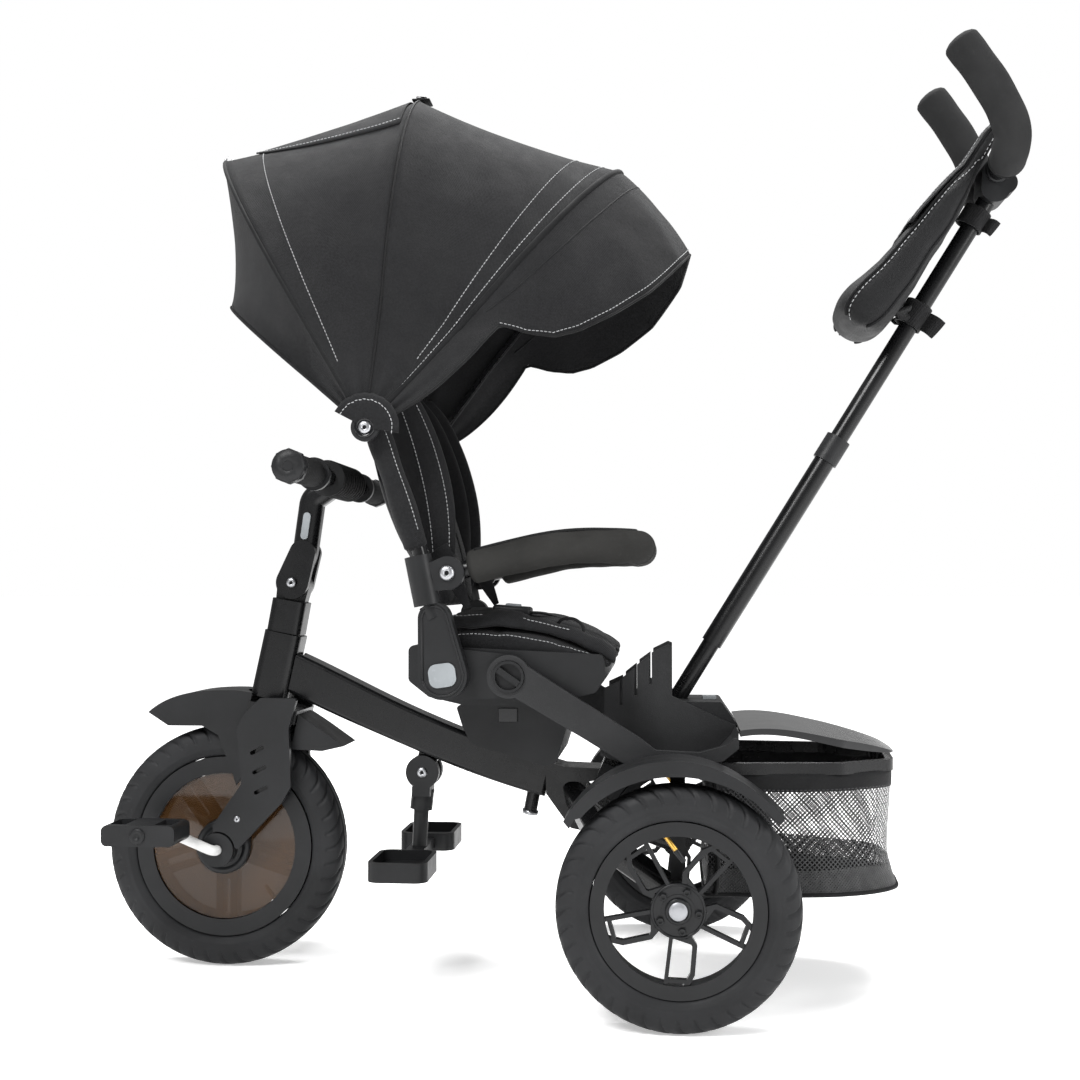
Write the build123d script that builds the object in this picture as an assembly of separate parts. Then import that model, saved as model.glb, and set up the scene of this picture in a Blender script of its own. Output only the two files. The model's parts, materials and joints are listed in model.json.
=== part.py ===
"""Children's push tricycle with a rear-facing seat, canopy, parent handle and mesh basket.

Millimetres. X runs from the front wheel (-) to the push handle (+), Y runs across and Z is up.
The origin is on the ground, under the middle of the tricycle.
"""
import os
from math import cos, pi, radians, sin, sqrt

from build123d import *

# --- driving dimensions -------------------------------------------------------------------
WHEELBASE = 547
REAR_AXLE_X = 147.5
FRONT_AXLE_X = REAR_AXLE_X - WHEELBASE
TRACK = 450

FRONT_TYRE_R = 145
FRONT_BEAD_R = 108
REAR_TYRE_R = 127.5
REAR_BEAD_R = 91
TYRE_W = 52
RIM_W = 44

GAP = 0.4            # air between pieces that move past each other
FIT = 0.05           # radial clearance of a running fit

HEAD_LOW = (-346.5, 324)
HEAD_HIGH = (-329.4, 403)
STEM_PIVOT = (-318.5, 464)
BAR = (-265.5, 588)
BAR_R = 11

TUBE_HALF_W = 20
COLUMN_HALF_W = 90
SEAT_HALF_W = 140
ARM_HALF_W = 150     # inner face of the footrest arms
ARM_T = 8
KNOB = (-37.5, 360)
KNOB_R = 17.5

RECLINE = (-108.5, 362)
RECLINE_Y = 152
RECLINE_T = 20
BACK_TUBE_Y = 164
PAD_HALF_W = 105
SLEEVE_LOW = (-126.5, 439)
SLEEVE_HIGH = (-137.5, 493)
GUARD_PIVOT = (-103.5, 474)
GUARD_Y = 150
GUARD_R = 10

CANOPY = (-191.5, 633)
REAR_BOW, MID_BOW, FRONT_BOW, VISOR_EDGE, CURTAIN_EDGE = 121, 86, 50, 33, 140
CLOTH_T = 2.4
BOW_T = 3.5          # a bow strip's thickness under the cloth
BOW_W = 5
PIVOT_R = 4

POLE_LOW = (148.5, 327)
POLE_HIGH = (533.5, 946)
POLE_R = 10.8
SLEEVE_R = 12.5
COLLAR_AT = 331      # distance of the collar's lower face up the pole
HANDLE = (523, 945)
HANDLE_HALF_W = 95

BASKET_TOP = 251
BASKET_LOW = 116
PEG_PIVOT = (-157.5, 236)

SIDES = {"left": 1, "right": -1}


# --- helpers ------------------------------------------------------------------------------
def outline(points, radius=0.0):
    """A closed face in the XZ plane's own x and y, with its corners rounded."""
    face = make_face(Polyline(*points, close=True))
    return fillet(face.vertices(), radius) if radius else face


def side_plate(face, width, y=0.0):
    """A side-view face given thickness across the tricycle, centred on y."""
    return Pos(0, y, 0) * extrude(Plane.XZ * face, amount=width / 2, both=True)


def round_bar(x, z, radius, width, y=0.0):
    """A cylinder lying across the tricycle."""
    return Pos(x, y, z) * Rot(90, 0, 0) * Cylinder(radius, width)


def rod(start, end, radius, bore=0.0):
    """A straight rod or tube between two points."""
    axis = Vector(*end) - Vector(*start)
    plane = Plane(origin=start, z_dir=axis)
    section = Circle(radius) - Circle(bore) if bore else Circle(radius)
    return extrude(plane * section, amount=axis.length)


def bent(points, radii, section):
    """A section swept along straight runs joined by arcs."""
    path = FilletPolyline(*points, radius=radii)
    return sweep(Plane(origin=path @ 0, z_dir=path % 0) * section, path=path)


def ring(inner, outer, width, y=0.0):
    """A flat ring about the wheel axis at the origin."""
    return Pos(0, y, 0) * Rot(90, 0, 0) * (Cylinder(outer, width) - Cylinder(inner, width + 2))


def capsule(first, first_r, second, second_r):
    """The hull of two circles, as a side-view face."""
    circles = Pos(*first) * Circle(first_r) + Pos(*second) * Circle(second_r)
    return make_hull(circles.edges())


def along(start, end, distance):
    """The side-view point that lies a distance from start towards end."""
    length = sqrt((end[0] - start[0]) ** 2 + (end[1] - start[1]) ** 2)
    part = distance / length
    return (start[0] + part * (end[0] - start[0]), start[1] + part * (end[1] - start[1]))


def at(point, y=0.0):
    """A side-view point (x, z) placed at y."""
    return (point[0], y, point[1])


def both_sides(shape):
    """The shape and its mirror image across the middle of the tricycle."""
    return shape + mirror(shape, about=Plane.XZ)


# --- wheels -------------------------------------------------------------------------------
def tyre(radius, bead):
    """A hollow tyre casing, open towards the rim."""
    section = Pos((radius + bead) / 2, 0) * Rectangle(radius - bead, TYRE_W)
    tread = section.vertices().filter_by_position(Axis.X, radius - 1, radius + 1)
    section = fillet(tread, 20)
    top = radius - 8
    cavity = Pos((top + bead) / 2 - 1, 0) * Rectangle(top - bead + 2, TYRE_W - 14)
    roof = cavity.vertices().filter_by_position(Axis.X, top - 1, top + 1)
    return revolve(section - fillet(roof, 14), Axis.Y, 360)


def rear_rim():
    """A rim with five twin spokes, facing -Y, about the origin."""
    barrel = ring(82, REAR_BEAD_R - 0.3, RIM_W) + ring(76, 84, 5, -RIM_W / 2 + 2.5)
    wheel = barrel + round_bar(0, 0, 27, 8, -RIM_W / 2 + 6) + round_bar(0, 0, 17, RIM_W - 2)
    for turn in range(5):
        straight = Pos(50, -4) * Rectangle(66, 4)
        dog_leg = trace(Polyline((22, 12), (33, 21), (62, 22), (81, 14)), 5)
        brace = trace(Polyline((72, -4), (70, 19)), 4) + trace(Polyline((26, -4), (30, 17)), 4)
        twin = Plane.XZ * (Rot(0, 0, -97 + 72 * turn) * (straight + dog_leg + brace))
        wheel = wheel + Pos(0, -RIM_W / 2 + 11, 0) * extrude(twin, amount=9)
    return wheel - round_bar(0, 0, 8 + FIT, RIM_W + 10)


def front_rim():
    """A rim with five broad slotted spokes, about the origin."""
    barrel = ring(98, FRONT_BEAD_R - 0.3, RIM_W) + both_sides(ring(88, 100, 5, RIM_W / 2 - 2.5))
    hub = round_bar(0, 0, 33, 50)
    wheel = barrel + hub
    for turn in range(5):
        spoke = Pos(62, 0) * Rectangle(76, 26) - Pos(64, 0) * Rectangle(44, 9)
        arm = extrude(Plane.XZ * (Rot(0, 0, -90 + 72 * turn) * spoke), amount=9, both=True)
        wheel = wheel + arm
    return wheel - round_bar(0, 0, 6, 60)


def front_wheel():
    """The driven front wheel: tyre, rim, smoked covers and the cranked axle."""
    here = Pos(FRONT_AXLE_X, 0, FRONT_TYRE_R)
    cover = ring(33.4, 87.6, 1.8, RIM_W / 2 - 4)
    y_crank, y_tip, throw = 60, 134, 72
    near_up, far_up = (-throw * 0.9, throw * 0.42), (throw * 0.9, -throw * 0.42)
    route = [
        (near_up[0], -y_tip, near_up[1]), (near_up[0], -y_crank - 12, near_up[1]),
        (0, -y_crank, 0), (0, y_crank, 0),
        (far_up[0], y_crank + 12, far_up[1]), (far_up[0], y_tip, far_up[1]),
    ]
    crank = bent(route, 10, Circle(6))
    return {
        "front_tyre": here * tyre(FRONT_TYRE_R, FRONT_BEAD_R),
        "front_rim": here * front_rim(),
        "smoked_wheel_covers": here * both_sides(cover),
        "crank_axle": here * crank,
    }, near_up, far_up


def pedal(centre, y):
    """A block pedal on its spindle, centred on y."""
    x, z = FRONT_AXLE_X + centre[0], FRONT_TYRE_R + centre[1]
    body = fillet((Pos(x, y, z) * Box(86, 54, 24)).edges().filter_by(Axis.Y), 7)
    windows = [Pos(x + dx, y, z) * Box(20, 38, 30) for dx in (-27, 27)]
    return body - windows - round_bar(x, z, 6 + FIT, 80, y)


def rear_wheel(side):
    """Tyre and rim of one rear wheel, its spokes facing outwards."""
    here = Pos(REAR_AXLE_X, side * TRACK / 2, REAR_TYRE_R)
    rim = rear_rim() if side < 0 else mirror(rear_rim(), about=Plane.XZ)
    return here * tyre(REAR_TYRE_R, REAR_BEAD_R), here * rim


# --- steering -----------------------------------------------------------------------------
def head_block(low, high, size, round_r, bore):
    """A rounded square tube on the steering axis."""
    axis = Vector(high[0] - low[0], 0, high[1] - low[1])
    plane = Plane(origin=at(low), x_dir=(0, 1, 0), z_dir=axis)
    section = RectangleRounded(size, size, round_r) - Circle(bore) if bore else \
        RectangleRounded(size, size, round_r)
    return extrude(plane * section, amount=axis.length)


def fork_group():
    """Everything that turns with the steering below the handlebar's own pivot."""
    axle = (FRONT_AXLE_X, FRONT_TYRE_R)
    leg_top, leg_knee = (-330, 300), (-348, 214)
    leg = side_plate(capsule(leg_top, 18, leg_knee, 16), 7, 38) \
        + side_plate(capsule(leg_knee, 16, axle, 16), 7, 38) + round_bar(*axle, 21, 7, 38)
    crown = Pos(-336, 0, 308) * Rot(0, 12.2, 0) * Box(60, 83, 16)
    fork = both_sides(leg) + crown
    fork = fork - round_bar(*axle, 6 + FIT, 120)

    shroud = outline([
        (-368, 306), (-348, 326), (-303, 326), (-313, 290), (-310, 221),
        (-320, 203), (-374, 146), (-404, 165), (-405, 174), (-370, 224), (-376, 290),
    ], 3)
    slots = [Pos(x, z) * Rot(0, 0, 27) * SlotOverall(19, 4.6)
             for x, z in ((-351, 264), (-348, 241), (-346, 217))]
    cover = side_plate(shroud - slots, 8, 45.8) - round_bar(*axle, 22, 30, 45.8)
    boss = round_bar(*axle, 20, 9, 46.3) - round_bar(*axle, 6.4, 60, 46.3)

    column_low = along(HEAD_LOW, HEAD_HIGH, -9)
    stem_top = along(HEAD_HIGH, STEM_PIVOT, 40)
    column = rod(at(column_low), at(HEAD_HIGH), 14) + head_block(
        along(HEAD_HIGH, STEM_PIVOT, 0.5), stem_top, 42, 9, 0)
    tongue = side_plate(capsule(STEM_PIVOT, 20, stem_top, 18), 18)
    column = column + tongue - round_bar(*STEM_PIVOT, 5 + FIT, 60)
    return {
        "fork": fork,
        "fork_covers": both_sides(cover + boss),
        "steering_column": column,
        "front_fender": front_fender(),
    }


def front_fender():
    """A fender shell over the front tyre, cut out round the fork crown."""
    top = [(-491, 307), (-468, 322), (-438, 331), (-405, 334), (-367, 332), (-325, 316),
           (-286, 293), (-250, 268)]
    low = [(-276, 262), (-318, 264), (-352, 262), (-381, 220), (-404, 280), (-424, 291),
           (-466, 291)]
    roof = make_face(Spline(*top) + Polyline(top[-1], *low, top[0]))
    inner_top = [(x, z - 5) for x, z in top]
    under = make_face(Spline(*inner_top) + Polyline(inner_top[-1], (-250, 200), (-491, 200),
                                                    inner_top[0]))
    shell = side_plate(roof, 67) - side_plate(under, 59)
    clear = round_bar(FRONT_AXLE_X, FRONT_TYRE_R, FRONT_TYRE_R + 5, 59)
    hole = Pos(-336, 0, 308) * Rot(0, 12.2, 0) * Box(61, 84, 60)
    neck = rod(at(along(HEAD_LOW, HEAD_HIGH, -30)), at(HEAD_HIGH), 30)
    return shell - clear - hole - neck


def handlebar_group():
    """The folding upper stem, the bar, its guard and the two grips."""
    neck = [at(STEM_PIVOT), at((-306, 500)), at((-297, 566)), at((-268, 586))]
    tube = bent(neck, [40, 16], RectangleRounded(30, 30, 11))
    cheek = side_plate(capsule(STEM_PIVOT, 20, (-306, 500), 16), 7.6, 13.2)
    fork_gap = side_plate(capsule(STEM_PIVOT, 21, (-322, 440), 30), 18.8)
    clearance = head_block(HEAD_HIGH, along(HEAD_HIGH, STEM_PIVOT, 41), 44, 9, 0)
    stem = both_sides(cheek) + tube - fork_gap - clearance
    pin = round_bar(*STEM_PIVOT, 5, 40)
    guard = round_bar(*BAR, 20, 116)
    stem = stem + pin + guard - round_bar(*BAR, BAR_R, 130)
    slot = Pos(-302, -15, 533) * Rot(90, 0, 0) * Rot(0, 0, 82)
    stem = stem - slot * extrude(SlotOverall(34, 10), 6, both=True)
    button = Pos(0, 0.5, 0) * slot * extrude(SlotOverall(33, 9), 2.5, both=True)
    parts = {
        "stem_upper": stem,
        "handlebar": round_bar(*BAR, BAR_R, 452),
        "stem_button": button,
    }
    for name, side in SIDES.items():
        sleeve = round_bar(*BAR, 14.5, 100, side * 172) + round_bar(*BAR, 19, 7, side * 120) \
            + round_bar(*BAR, 18, 14, side * 227)
        parts["grip_" + name] = sleeve - round_bar(*BAR, BAR_R, 230.2, side * 111.1)
    return parts


# --- frame --------------------------------------------------------------------------------
def frame_group():
    """Main tube, head tube, rear yoke, axle and the pieces bolted to them."""
    head = head_block(HEAD_LOW, along(HEAD_HIGH, HEAD_LOW, GAP), 46, 10, 14 + FIT)
    tube_face = make_face(
        Spline((-322, 383), (-306, 376), (-184, 318), (-135, 297), (0, 251))
        + Polyline((0, 251), (-10, 209))
        + Spline((-10, 209), (-150, 256), (-184, 270), (-312, 326), (-330, 335))
        + Polyline((-330, 335), (-322, 383)))
    tube = side_plate(tube_face, 2 * TUBE_HALF_W)
    tube = fillet(tube.edges().group_by(Axis.Y)[0] + tube.edges().group_by(Axis.Y)[-1], 5)
    bore = rod(at(HEAD_LOW), at(HEAD_HIGH), 30)
    lug = side_plate(capsule(PEG_PIVOT, 12, (-150, 262), 12), 12)
    bolt = rod((-24, 0, 214), (-29, 0, 188), 8)
    tube = tube - bore - head + lug + bolt - round_bar(*PEG_PIVOT, 4 + FIT, 40)

    centre = side_plate(outline([
        (-8, 252), (14, 246), (66, 244), (60, 232), (40, 228), (42, 170), (22, 174), (-7, 214),
    ], 5), 56)
    arm = bent([(24, -20, 216), (60, -96, 172), (REAR_AXLE_X, -166, REAR_TYRE_R)], 60,
               RectangleRounded(30, 24, 8))
    strut = Pos(66, -72, 246) * Rot(0, 24, 0) * Box(16, 90, 30)
    socket = round_bar(REAR_AXLE_X, REAR_TYRE_R, 19, 40, -176)
    yoke = centre + both_sides(arm + socket + strut)
    axle = round_bar(REAR_AXLE_X, REAR_TYRE_R, 8, TRACK + RIM_W - 2)
    yoke = yoke - axle - tube
    return {
        "head_tube": head,
        "main_tube": tube,
        "rear_yoke": yoke,
        "rear_axle": axle,
    }


def rear_fenders():
    """A thin arched fender over each rear wheel, on a bracket from the yoke."""
    top = [(30, 218), (50, 244), (85, 268), (120, 279), (151, 281), (195, 270), (232, 247),
           (256, 225)]
    low = [(x + (6 if x < 150 else -6), z - 7) for x, z in reversed(top)]
    face = make_face(Spline(*top) + Polyline(top[-1], low[0]) + Spline(*low)
                     + Polyline(low[-1], top[0]))
    arch = side_plate(face, 64, 222)
    skirt = make_face(Spline(*top) + Polyline(top[-1], (240, 228)) + Spline(
        (240, 228), (205, 252), (151, 265), (95, 255), (48, 222)) + Polyline((48, 222), top[0]))
    stay = Pos(REAR_AXLE_X, 186, 211) * Box(16, 4, 128)
    return both_sides(arch + side_plate(skirt, 4, 252) + side_plate(skirt, 4, 190) + stay)


def footrests():
    """An arm and foot well each side: outer wall, floor and the comb beside the spine."""
    arm = outline([
        (-40, 382), (-28, 379), (107, 294), (124, 281), (172, 279), (200, 287), (214, 300),
        (214, 284), (197, 270), (172, 265), (92, 265), (44, 294), (-32, 338), (-52, 342),
    ], 4)
    eye = Pos(*KNOB) * Circle(24)
    wall = side_plate(arm + eye, ARM_T, ARM_HALF_W + ARM_T / 2)
    wall = wall - round_bar(*KNOB, KNOB_R + GAP, 40, ARM_HALF_W)
    teeth = [(63, 268), (64, 342)]
    for slot_x, slot_z, top_z in ((83, 322, 350), (100, 333, 365), (117, 346, 379)):
        teeth += [(slot_x - 1.6, top_z), (slot_x - 1.6, slot_z), (slot_x + 1.6, slot_z),
                  (slot_x + 1.6, top_z + 4)]
    teeth += [(137, 392), (142, 390), (142, 333), (205, 304), (214, 300), (214, 284), (197, 270),
              (172, 265), (92, 265)]
    comb = side_plate(outline(teeth), 5, 60.5)
    floor = outline([
        (63, 279), (92, 270), (172, 270), (196, 276), (209, 290), (214, 300), (214, 284),
        (197, 270), (172, 265), (92, 265), (63, 274),
    ])
    tray = side_plate(floor, ARM_HALF_W - 58, (ARM_HALF_W + 58) / 2)
    return both_sides(wall + comb + tray)


def pole_socket():
    """The spine between the foot wells, with the bore that takes the push pole."""
    spine = side_plate(outline([
        (128, 265), (128, 312), (150, 326), (199, 326), (216, 301), (216, 265),
    ], 5), 2 * 57)
    bore = rod(at(along(POLE_LOW, POLE_HIGH, -48)), at(along(POLE_LOW, POLE_HIGH, 30)), POLE_R)
    pocket = Pos(186, 0, 326) * Box(17, 31, 20)
    return spine - bore - pocket


def basket_group():
    """The glossy lid, the ring under it and the mesh basket that hangs from the ring."""
    plan = outline([(176, -128), (176, 128), (330, 112), (392, 66), (397, 0), (392, -66),
                    (330, -112)], 0)
    ring_out = fillet(plan.vertices(), 22)
    frame = extrude(Pos(0, 0, BASKET_TOP) * ring_out, 13) \
        - extrude(Pos(0, 0, BASKET_TOP - 1) * offset(ring_out, -9), 15)
    lid_face = make_face(
        Spline((217, 300), (250, 302), (322, 291), (370, 280), (396, 271.5))
        + Polyline((396, 271.5), (388, 271.2))
        + Spline((388, 271.2), (366, 274), (320, 283), (250, 295), (217, 293))
        + Polyline((217, 293), (217, 300)))
    lid = side_plate(lid_face, 2 * 126)
    lid = lid & extrude(Pos(0, 0, 255) * ring_out, 60)
    bag_out = extrude(Pos(0, 0, BASKET_LOW) * offset(ring_out, -1.5), BASKET_TOP - BASKET_LOW - GAP)
    bag_in = extrude(Pos(0, 0, BASKET_LOW + 2.5) * offset(ring_out, -4.5), 200)
    return {"basket_lid": lid, "basket_ring": frame, "mesh_basket": bag_out - bag_in}


def foot_pegs():
    """A folding peg arm with a tray to each side."""
    cheeks = both_sides(round_bar(*PEG_PIVOT, 20, 11, 12.2))
    pin = round_bar(*PEG_PIVOT, 4, 34)
    stalk = rod(at((-160, 216)), at((-163.5, 142)), 9)
    collar = rod(at((-159, 214)), at((-161.5, 190)), 13.5)
    bridge = Pos(-159, 0, 213) * Box(22, 35, 12)
    block = Pos(-165, 0, 139) * Box(22, 112, 12)
    arm = cheeks + pin + stalk + collar + bridge + block
    arm = arm - side_plate(capsule(PEG_PIVOT, 13, (-152, 262), 13), 13)
    tray = fillet((Pos(-165, 100, 140) * Box(68, 88, 22)).edges().filter_by(Axis.Z), 14)
    well = fillet((Pos(-165, 100, 150) * Box(58, 78, 22)).edges().filter_by(Axis.Z), 10)
    return {"foot_peg_arm": arm, "foot_peg_trays": both_sides(tray - well)}


# --- seat ---------------------------------------------------------------------------------
def seat_group():
    """The fixed column with its pull latch, and the seat that lifts off it."""
    case = outline([(-106, 323), (-98, 298), (-88, 279), (-3, 254), (10, 259), (22, 299),
                    (23, 323)], 4)
    column = side_plate(case, 2 * COLUMN_HALF_W)
    hollow = outline([(-98, 330), (-92, 300), (-84, 285), (-4, 262), (5, 265), (15, 300), (16, 330)])
    column = column - side_plate(hollow, 2 * COLUMN_HALF_W - 8)
    latch_at = (-45.5, 312)
    pocket = Pos(latch_at[0], -COLUMN_HALF_W, latch_at[1]) * Box(22, 14, 16)
    backing = Pos(latch_at[0], -COLUMN_HALF_W + 9, latch_at[1]) * Box(28, 10, 20)
    tube_room = side_plate(outline([(-140, 300), (2, 252), (-10, 200), (-140, 250)]), 41)
    column = column + backing - pocket - tube_room
    latch = Pos(latch_at[0], -COLUMN_HALF_W + 1.5, latch_at[1]) * Box(21, 7, 15)

    shell = side_plate(outline([
        (-152, 394), (-152, 354), (-129, 336), (-89, 327), (-5, 327), (58, 342), (69, 360),
        (66, 384),
    ], 7), 2 * SEAT_HALF_W)
    pan = side_plate(outline([
        (-146, 400), (-146, 357), (-126, 342), (-88, 333), (-6, 333), (54, 348), (62, 362),
        (60, 400),
    ], 5), 2 * SEAT_HALF_W - 12)
    shell = shell - pan
    flange = side_plate(capsule(RECLINE, 29, KNOB, 24), 10, SEAT_HALF_W + 3)
    shell = shell + both_sides(flange)
    deck = Pos(-42, 0, 366) * Box(212, 2 * SEAT_HALF_W - 8, 4)
    pins = both_sides(round_bar(*RECLINE, 8, 18, RECLINE_Y))
    shell = shell + deck + pins
    cushion = side_plate(outline([
        (-140, 372), (-142, 396), (-120, 432), (-20, 427), (40, 410), (76, 392), (78, 376),
        (56, 371),
    ], 6), 2 * SEAT_HALF_W - 16)
    cushion = cushion - shell
    parts = {
        "seat_column": column,
        "seat_latch": latch,
        "seat_shell": shell,
        "seat_cushion": cushion,
    }
    for name, side in SIDES.items():
        knob = round_bar(*KNOB, KNOB_R, 12, side * (ARM_HALF_W + 5))
        recess = round_bar(*KNOB, KNOB_R - 3, 10, side * (ARM_HALF_W + 9))
        grip = Pos(KNOB[0], side * (ARM_HALF_W + 7), KNOB[1]) * Rot(0, 35, 0) * Box(28, 8, 7)
        parts["seat_knob_" + name] = knob - recess + (grip & round_bar(*KNOB, KNOB_R - 2, 12,
                                                                      side * (ARM_HALF_W + 5)))
    return parts


# --- backrest and guard bar ---------------------------------------------------------------
def back_group():
    """Recline arms, their buttons, the back tubes, the pad and the guard bar."""
    y_arm = RECLINE_Y + RECLINE_T / 2
    plate = side_plate(capsule(RECLINE, 27, (-118, 424), 18), RECLINE_T, y_arm)
    button_face = RectangleRounded(30, 26, 9)
    pocket = extrude(Plane.XZ * (Pos(*RECLINE) * Rot(0, 0, 8) * offset(button_face, GAP)), 6, both=True)
    plate = plate - Pos(0, y_arm + RECLINE_T / 2, 0) * pocket
    plate = plate - round_bar(*RECLINE, 8 + FIT, 20, RECLINE_Y)
    sleeve = rod(at(SLEEVE_LOW, BACK_TUBE_Y), at(SLEEVE_HIGH, BACK_TUBE_Y), 15)
    ear = side_plate(capsule(GUARD_PIVOT, 18.5, (-128, 468), 14), 11, BACK_TUBE_Y + 3)
    top_cap = round_bar(*CANOPY, 15.5, 6, 190) + round_bar(*CANOPY, PIVOT_R, 26, 176)
    arm_stub = rod(at((-119, 425), BACK_TUBE_Y), at(SLEEVE_LOW, BACK_TUBE_Y), 10)
    low = at(SLEEVE_LOW, BACK_TUBE_Y)
    knee = at((-134, 494), BACK_TUBE_Y)
    shoulder = at((-187, 640), BACK_TUBE_Y)
    neck = at((-212, 690), 116)
    crown = at((-262, 826), 116)
    half = [low, knee, shoulder, neck, crown]
    other = [(x, -y, z) for x, y, z in reversed(half)]
    tube = bent(half + other, [120, 24, 24, 45, 45, 24, 24, 120], Circle(8))
    fittings = both_sides(sleeve + ear + top_cap)
    fittings = fittings - tube
    plates = both_sides(plate + arm_stub)
    plates = plates - tube - fittings
    pad = side_plate(outline([
        (-126, 436), (-160, 520), (-196, 618), (-250, 780), (-248, 796), (-228, 796),
        (-150, 620), (-112, 540), (-98, 486), (-104, 440),
    ], 5), 2 * PAD_HALF_W)
    pad = pad - tube
    pin_r = 5
    pivot_pin = both_sides(round_bar(*GUARD_PIVOT, pin_r, 26, GUARD_Y + 11))
    fittings = fittings + pivot_pin
    route = [at(GUARD_PIVOT, GUARD_Y), at((10, 502), GUARD_Y), at((104, 504), GUARD_Y),
             at((104, 504), -GUARD_Y), at((10, 502), -GUARD_Y), at(GUARD_PIVOT, -GUARD_Y)]
    guard = bent(route, [220, 62, 62, 220], Circle(GUARD_R))
    knuckle = both_sides(round_bar(*GUARD_PIVOT, 15, 15, GUARD_Y + 0.5))
    guard = guard + knuckle
    start = along(GUARD_PIVOT, (10, 502), 30)
    foam_route = [at(start, GUARD_Y)] + route[1:-1] + [at(start, -GUARD_Y)]
    foam = bent(foam_route, [220, 62, 62, 220], Circle(19) - Circle(GUARD_R))
    guard = guard - both_sides(round_bar(*GUARD_PIVOT, pin_r + FIT, 60, GUARD_Y))
    parts = {
        "recline_arms": plates,
        "back_fittings": fittings,
        "back_tube": tube,
        "back_pad": pad,
        "guard_bar": guard,
        "guard_foam": foam,
    }
    for name, side in SIDES.items():
        face = Plane.XZ * (Pos(*RECLINE) * Rot(0, 0, 8) * button_face)
        parts["recline_button_" + name] = Pos(0, side * (y_arm + RECLINE_T / 2), 0) \
            * extrude(face, amount=2.5, both=True)
    return parts


# --- canopy -------------------------------------------------------------------------------
def bow_plane(angle):
    """The plane through the canopy's pivot line, tilted up from the rear by an angle."""
    a = radians(angle)
    return Plane(origin=at(CANOPY), x_dir=(0, 1, 0), z_dir=(sin(a), 0, -cos(a)))


def hoop(half_width, top, foot, foot_half_width, side_r=150):
    """Half an arch as (y, r) points: straight sides, then a rounded crown."""
    points = [(foot_half_width, foot), (half_width, side_r)]
    for step in range(1, 9):
        s = step * pi / 16
        points.append((half_width * cos(s), side_r + (top - side_r) * sin(s)))
    return points


def arch(thickness, half_width, top, foot, foot_half_width, side_r):
    """A thin arched face: one hoop outside, the same hoop drawn in by the thickness inside."""
    half = hoop(half_width, top, foot, foot_half_width, side_r)
    outer = half + [(-y, r) for y, r in reversed(half[:-1])]
    inner_half = hoop(half_width - thickness, top - thickness, foot, foot_half_width - thickness,
                      side_r)
    inner = inner_half + [(-y, r) for y, r in reversed(inner_half[:-1])]
    return make_face(Polyline(*outer, *reversed(inner), close=True))


def hoop_strip(angle, half_width, top, foot=26, foot_half_width=189, side_r=150):
    """The thin arched section of the cloth in one bow's plane."""
    face = arch(CLOTH_T, half_width, top, foot, foot_half_width, side_r)
    return bow_plane(angle) * face


def bow(angle, half_width, top, foot_half_width):
    """A flat strip bow just under the cloth, with an eye at each end."""
    inset = CLOTH_T + 3 * GAP
    face = arch(BOW_T, half_width - inset, top - inset, 3, foot_half_width, 150)
    strip = extrude(bow_plane(angle) * face, amount=BOW_W / 2, both=True)
    eye = round_bar(*CANOPY, 8, BOW_T, foot_half_width - BOW_T / 2)
    return strip + both_sides(eye) - round_bar(*CANOPY, PIVOT_R + FIT, 400)


def canopy_group():
    """Three bows on one pivot line, with cloth panels between them, a visor and a curtain."""
    rear = (REAR_BOW, 176, 408)
    middle = (MID_BOW, 154, 420)
    front = (FRONT_BOW, 142, 426)
    panel = {
        "canopy_rear_panel": loft([hoop_strip(*rear), hoop_strip(*middle)], ruled=True),
        "canopy_front_panel": loft([hoop_strip(*middle), hoop_strip(*front)], ruled=True),
        "canopy_curtain": loft([hoop_strip(CURTAIN_EDGE, 168, 262, side_r=90),
                                hoop_strip(REAR_BOW, 176, 408)], ruled=True),
        "canopy_visor": loft([hoop_strip(FRONT_BOW, 142, 426, 180, 142, 200),
                              hoop_strip(VISOR_EDGE, 132, 424, 196, 132, 214)], ruled=True),
    }
    bows = {
        "rear_bow": bow(*rear, 186.8),
        "mid_bow": bow(*middle, 182.1),
        "front_bow": bow(*front, 177),
    }
    panel["canopy_curtain"] = panel["canopy_curtain"] - bows["rear_bow"]
    return {**panel, **bows}


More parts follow.
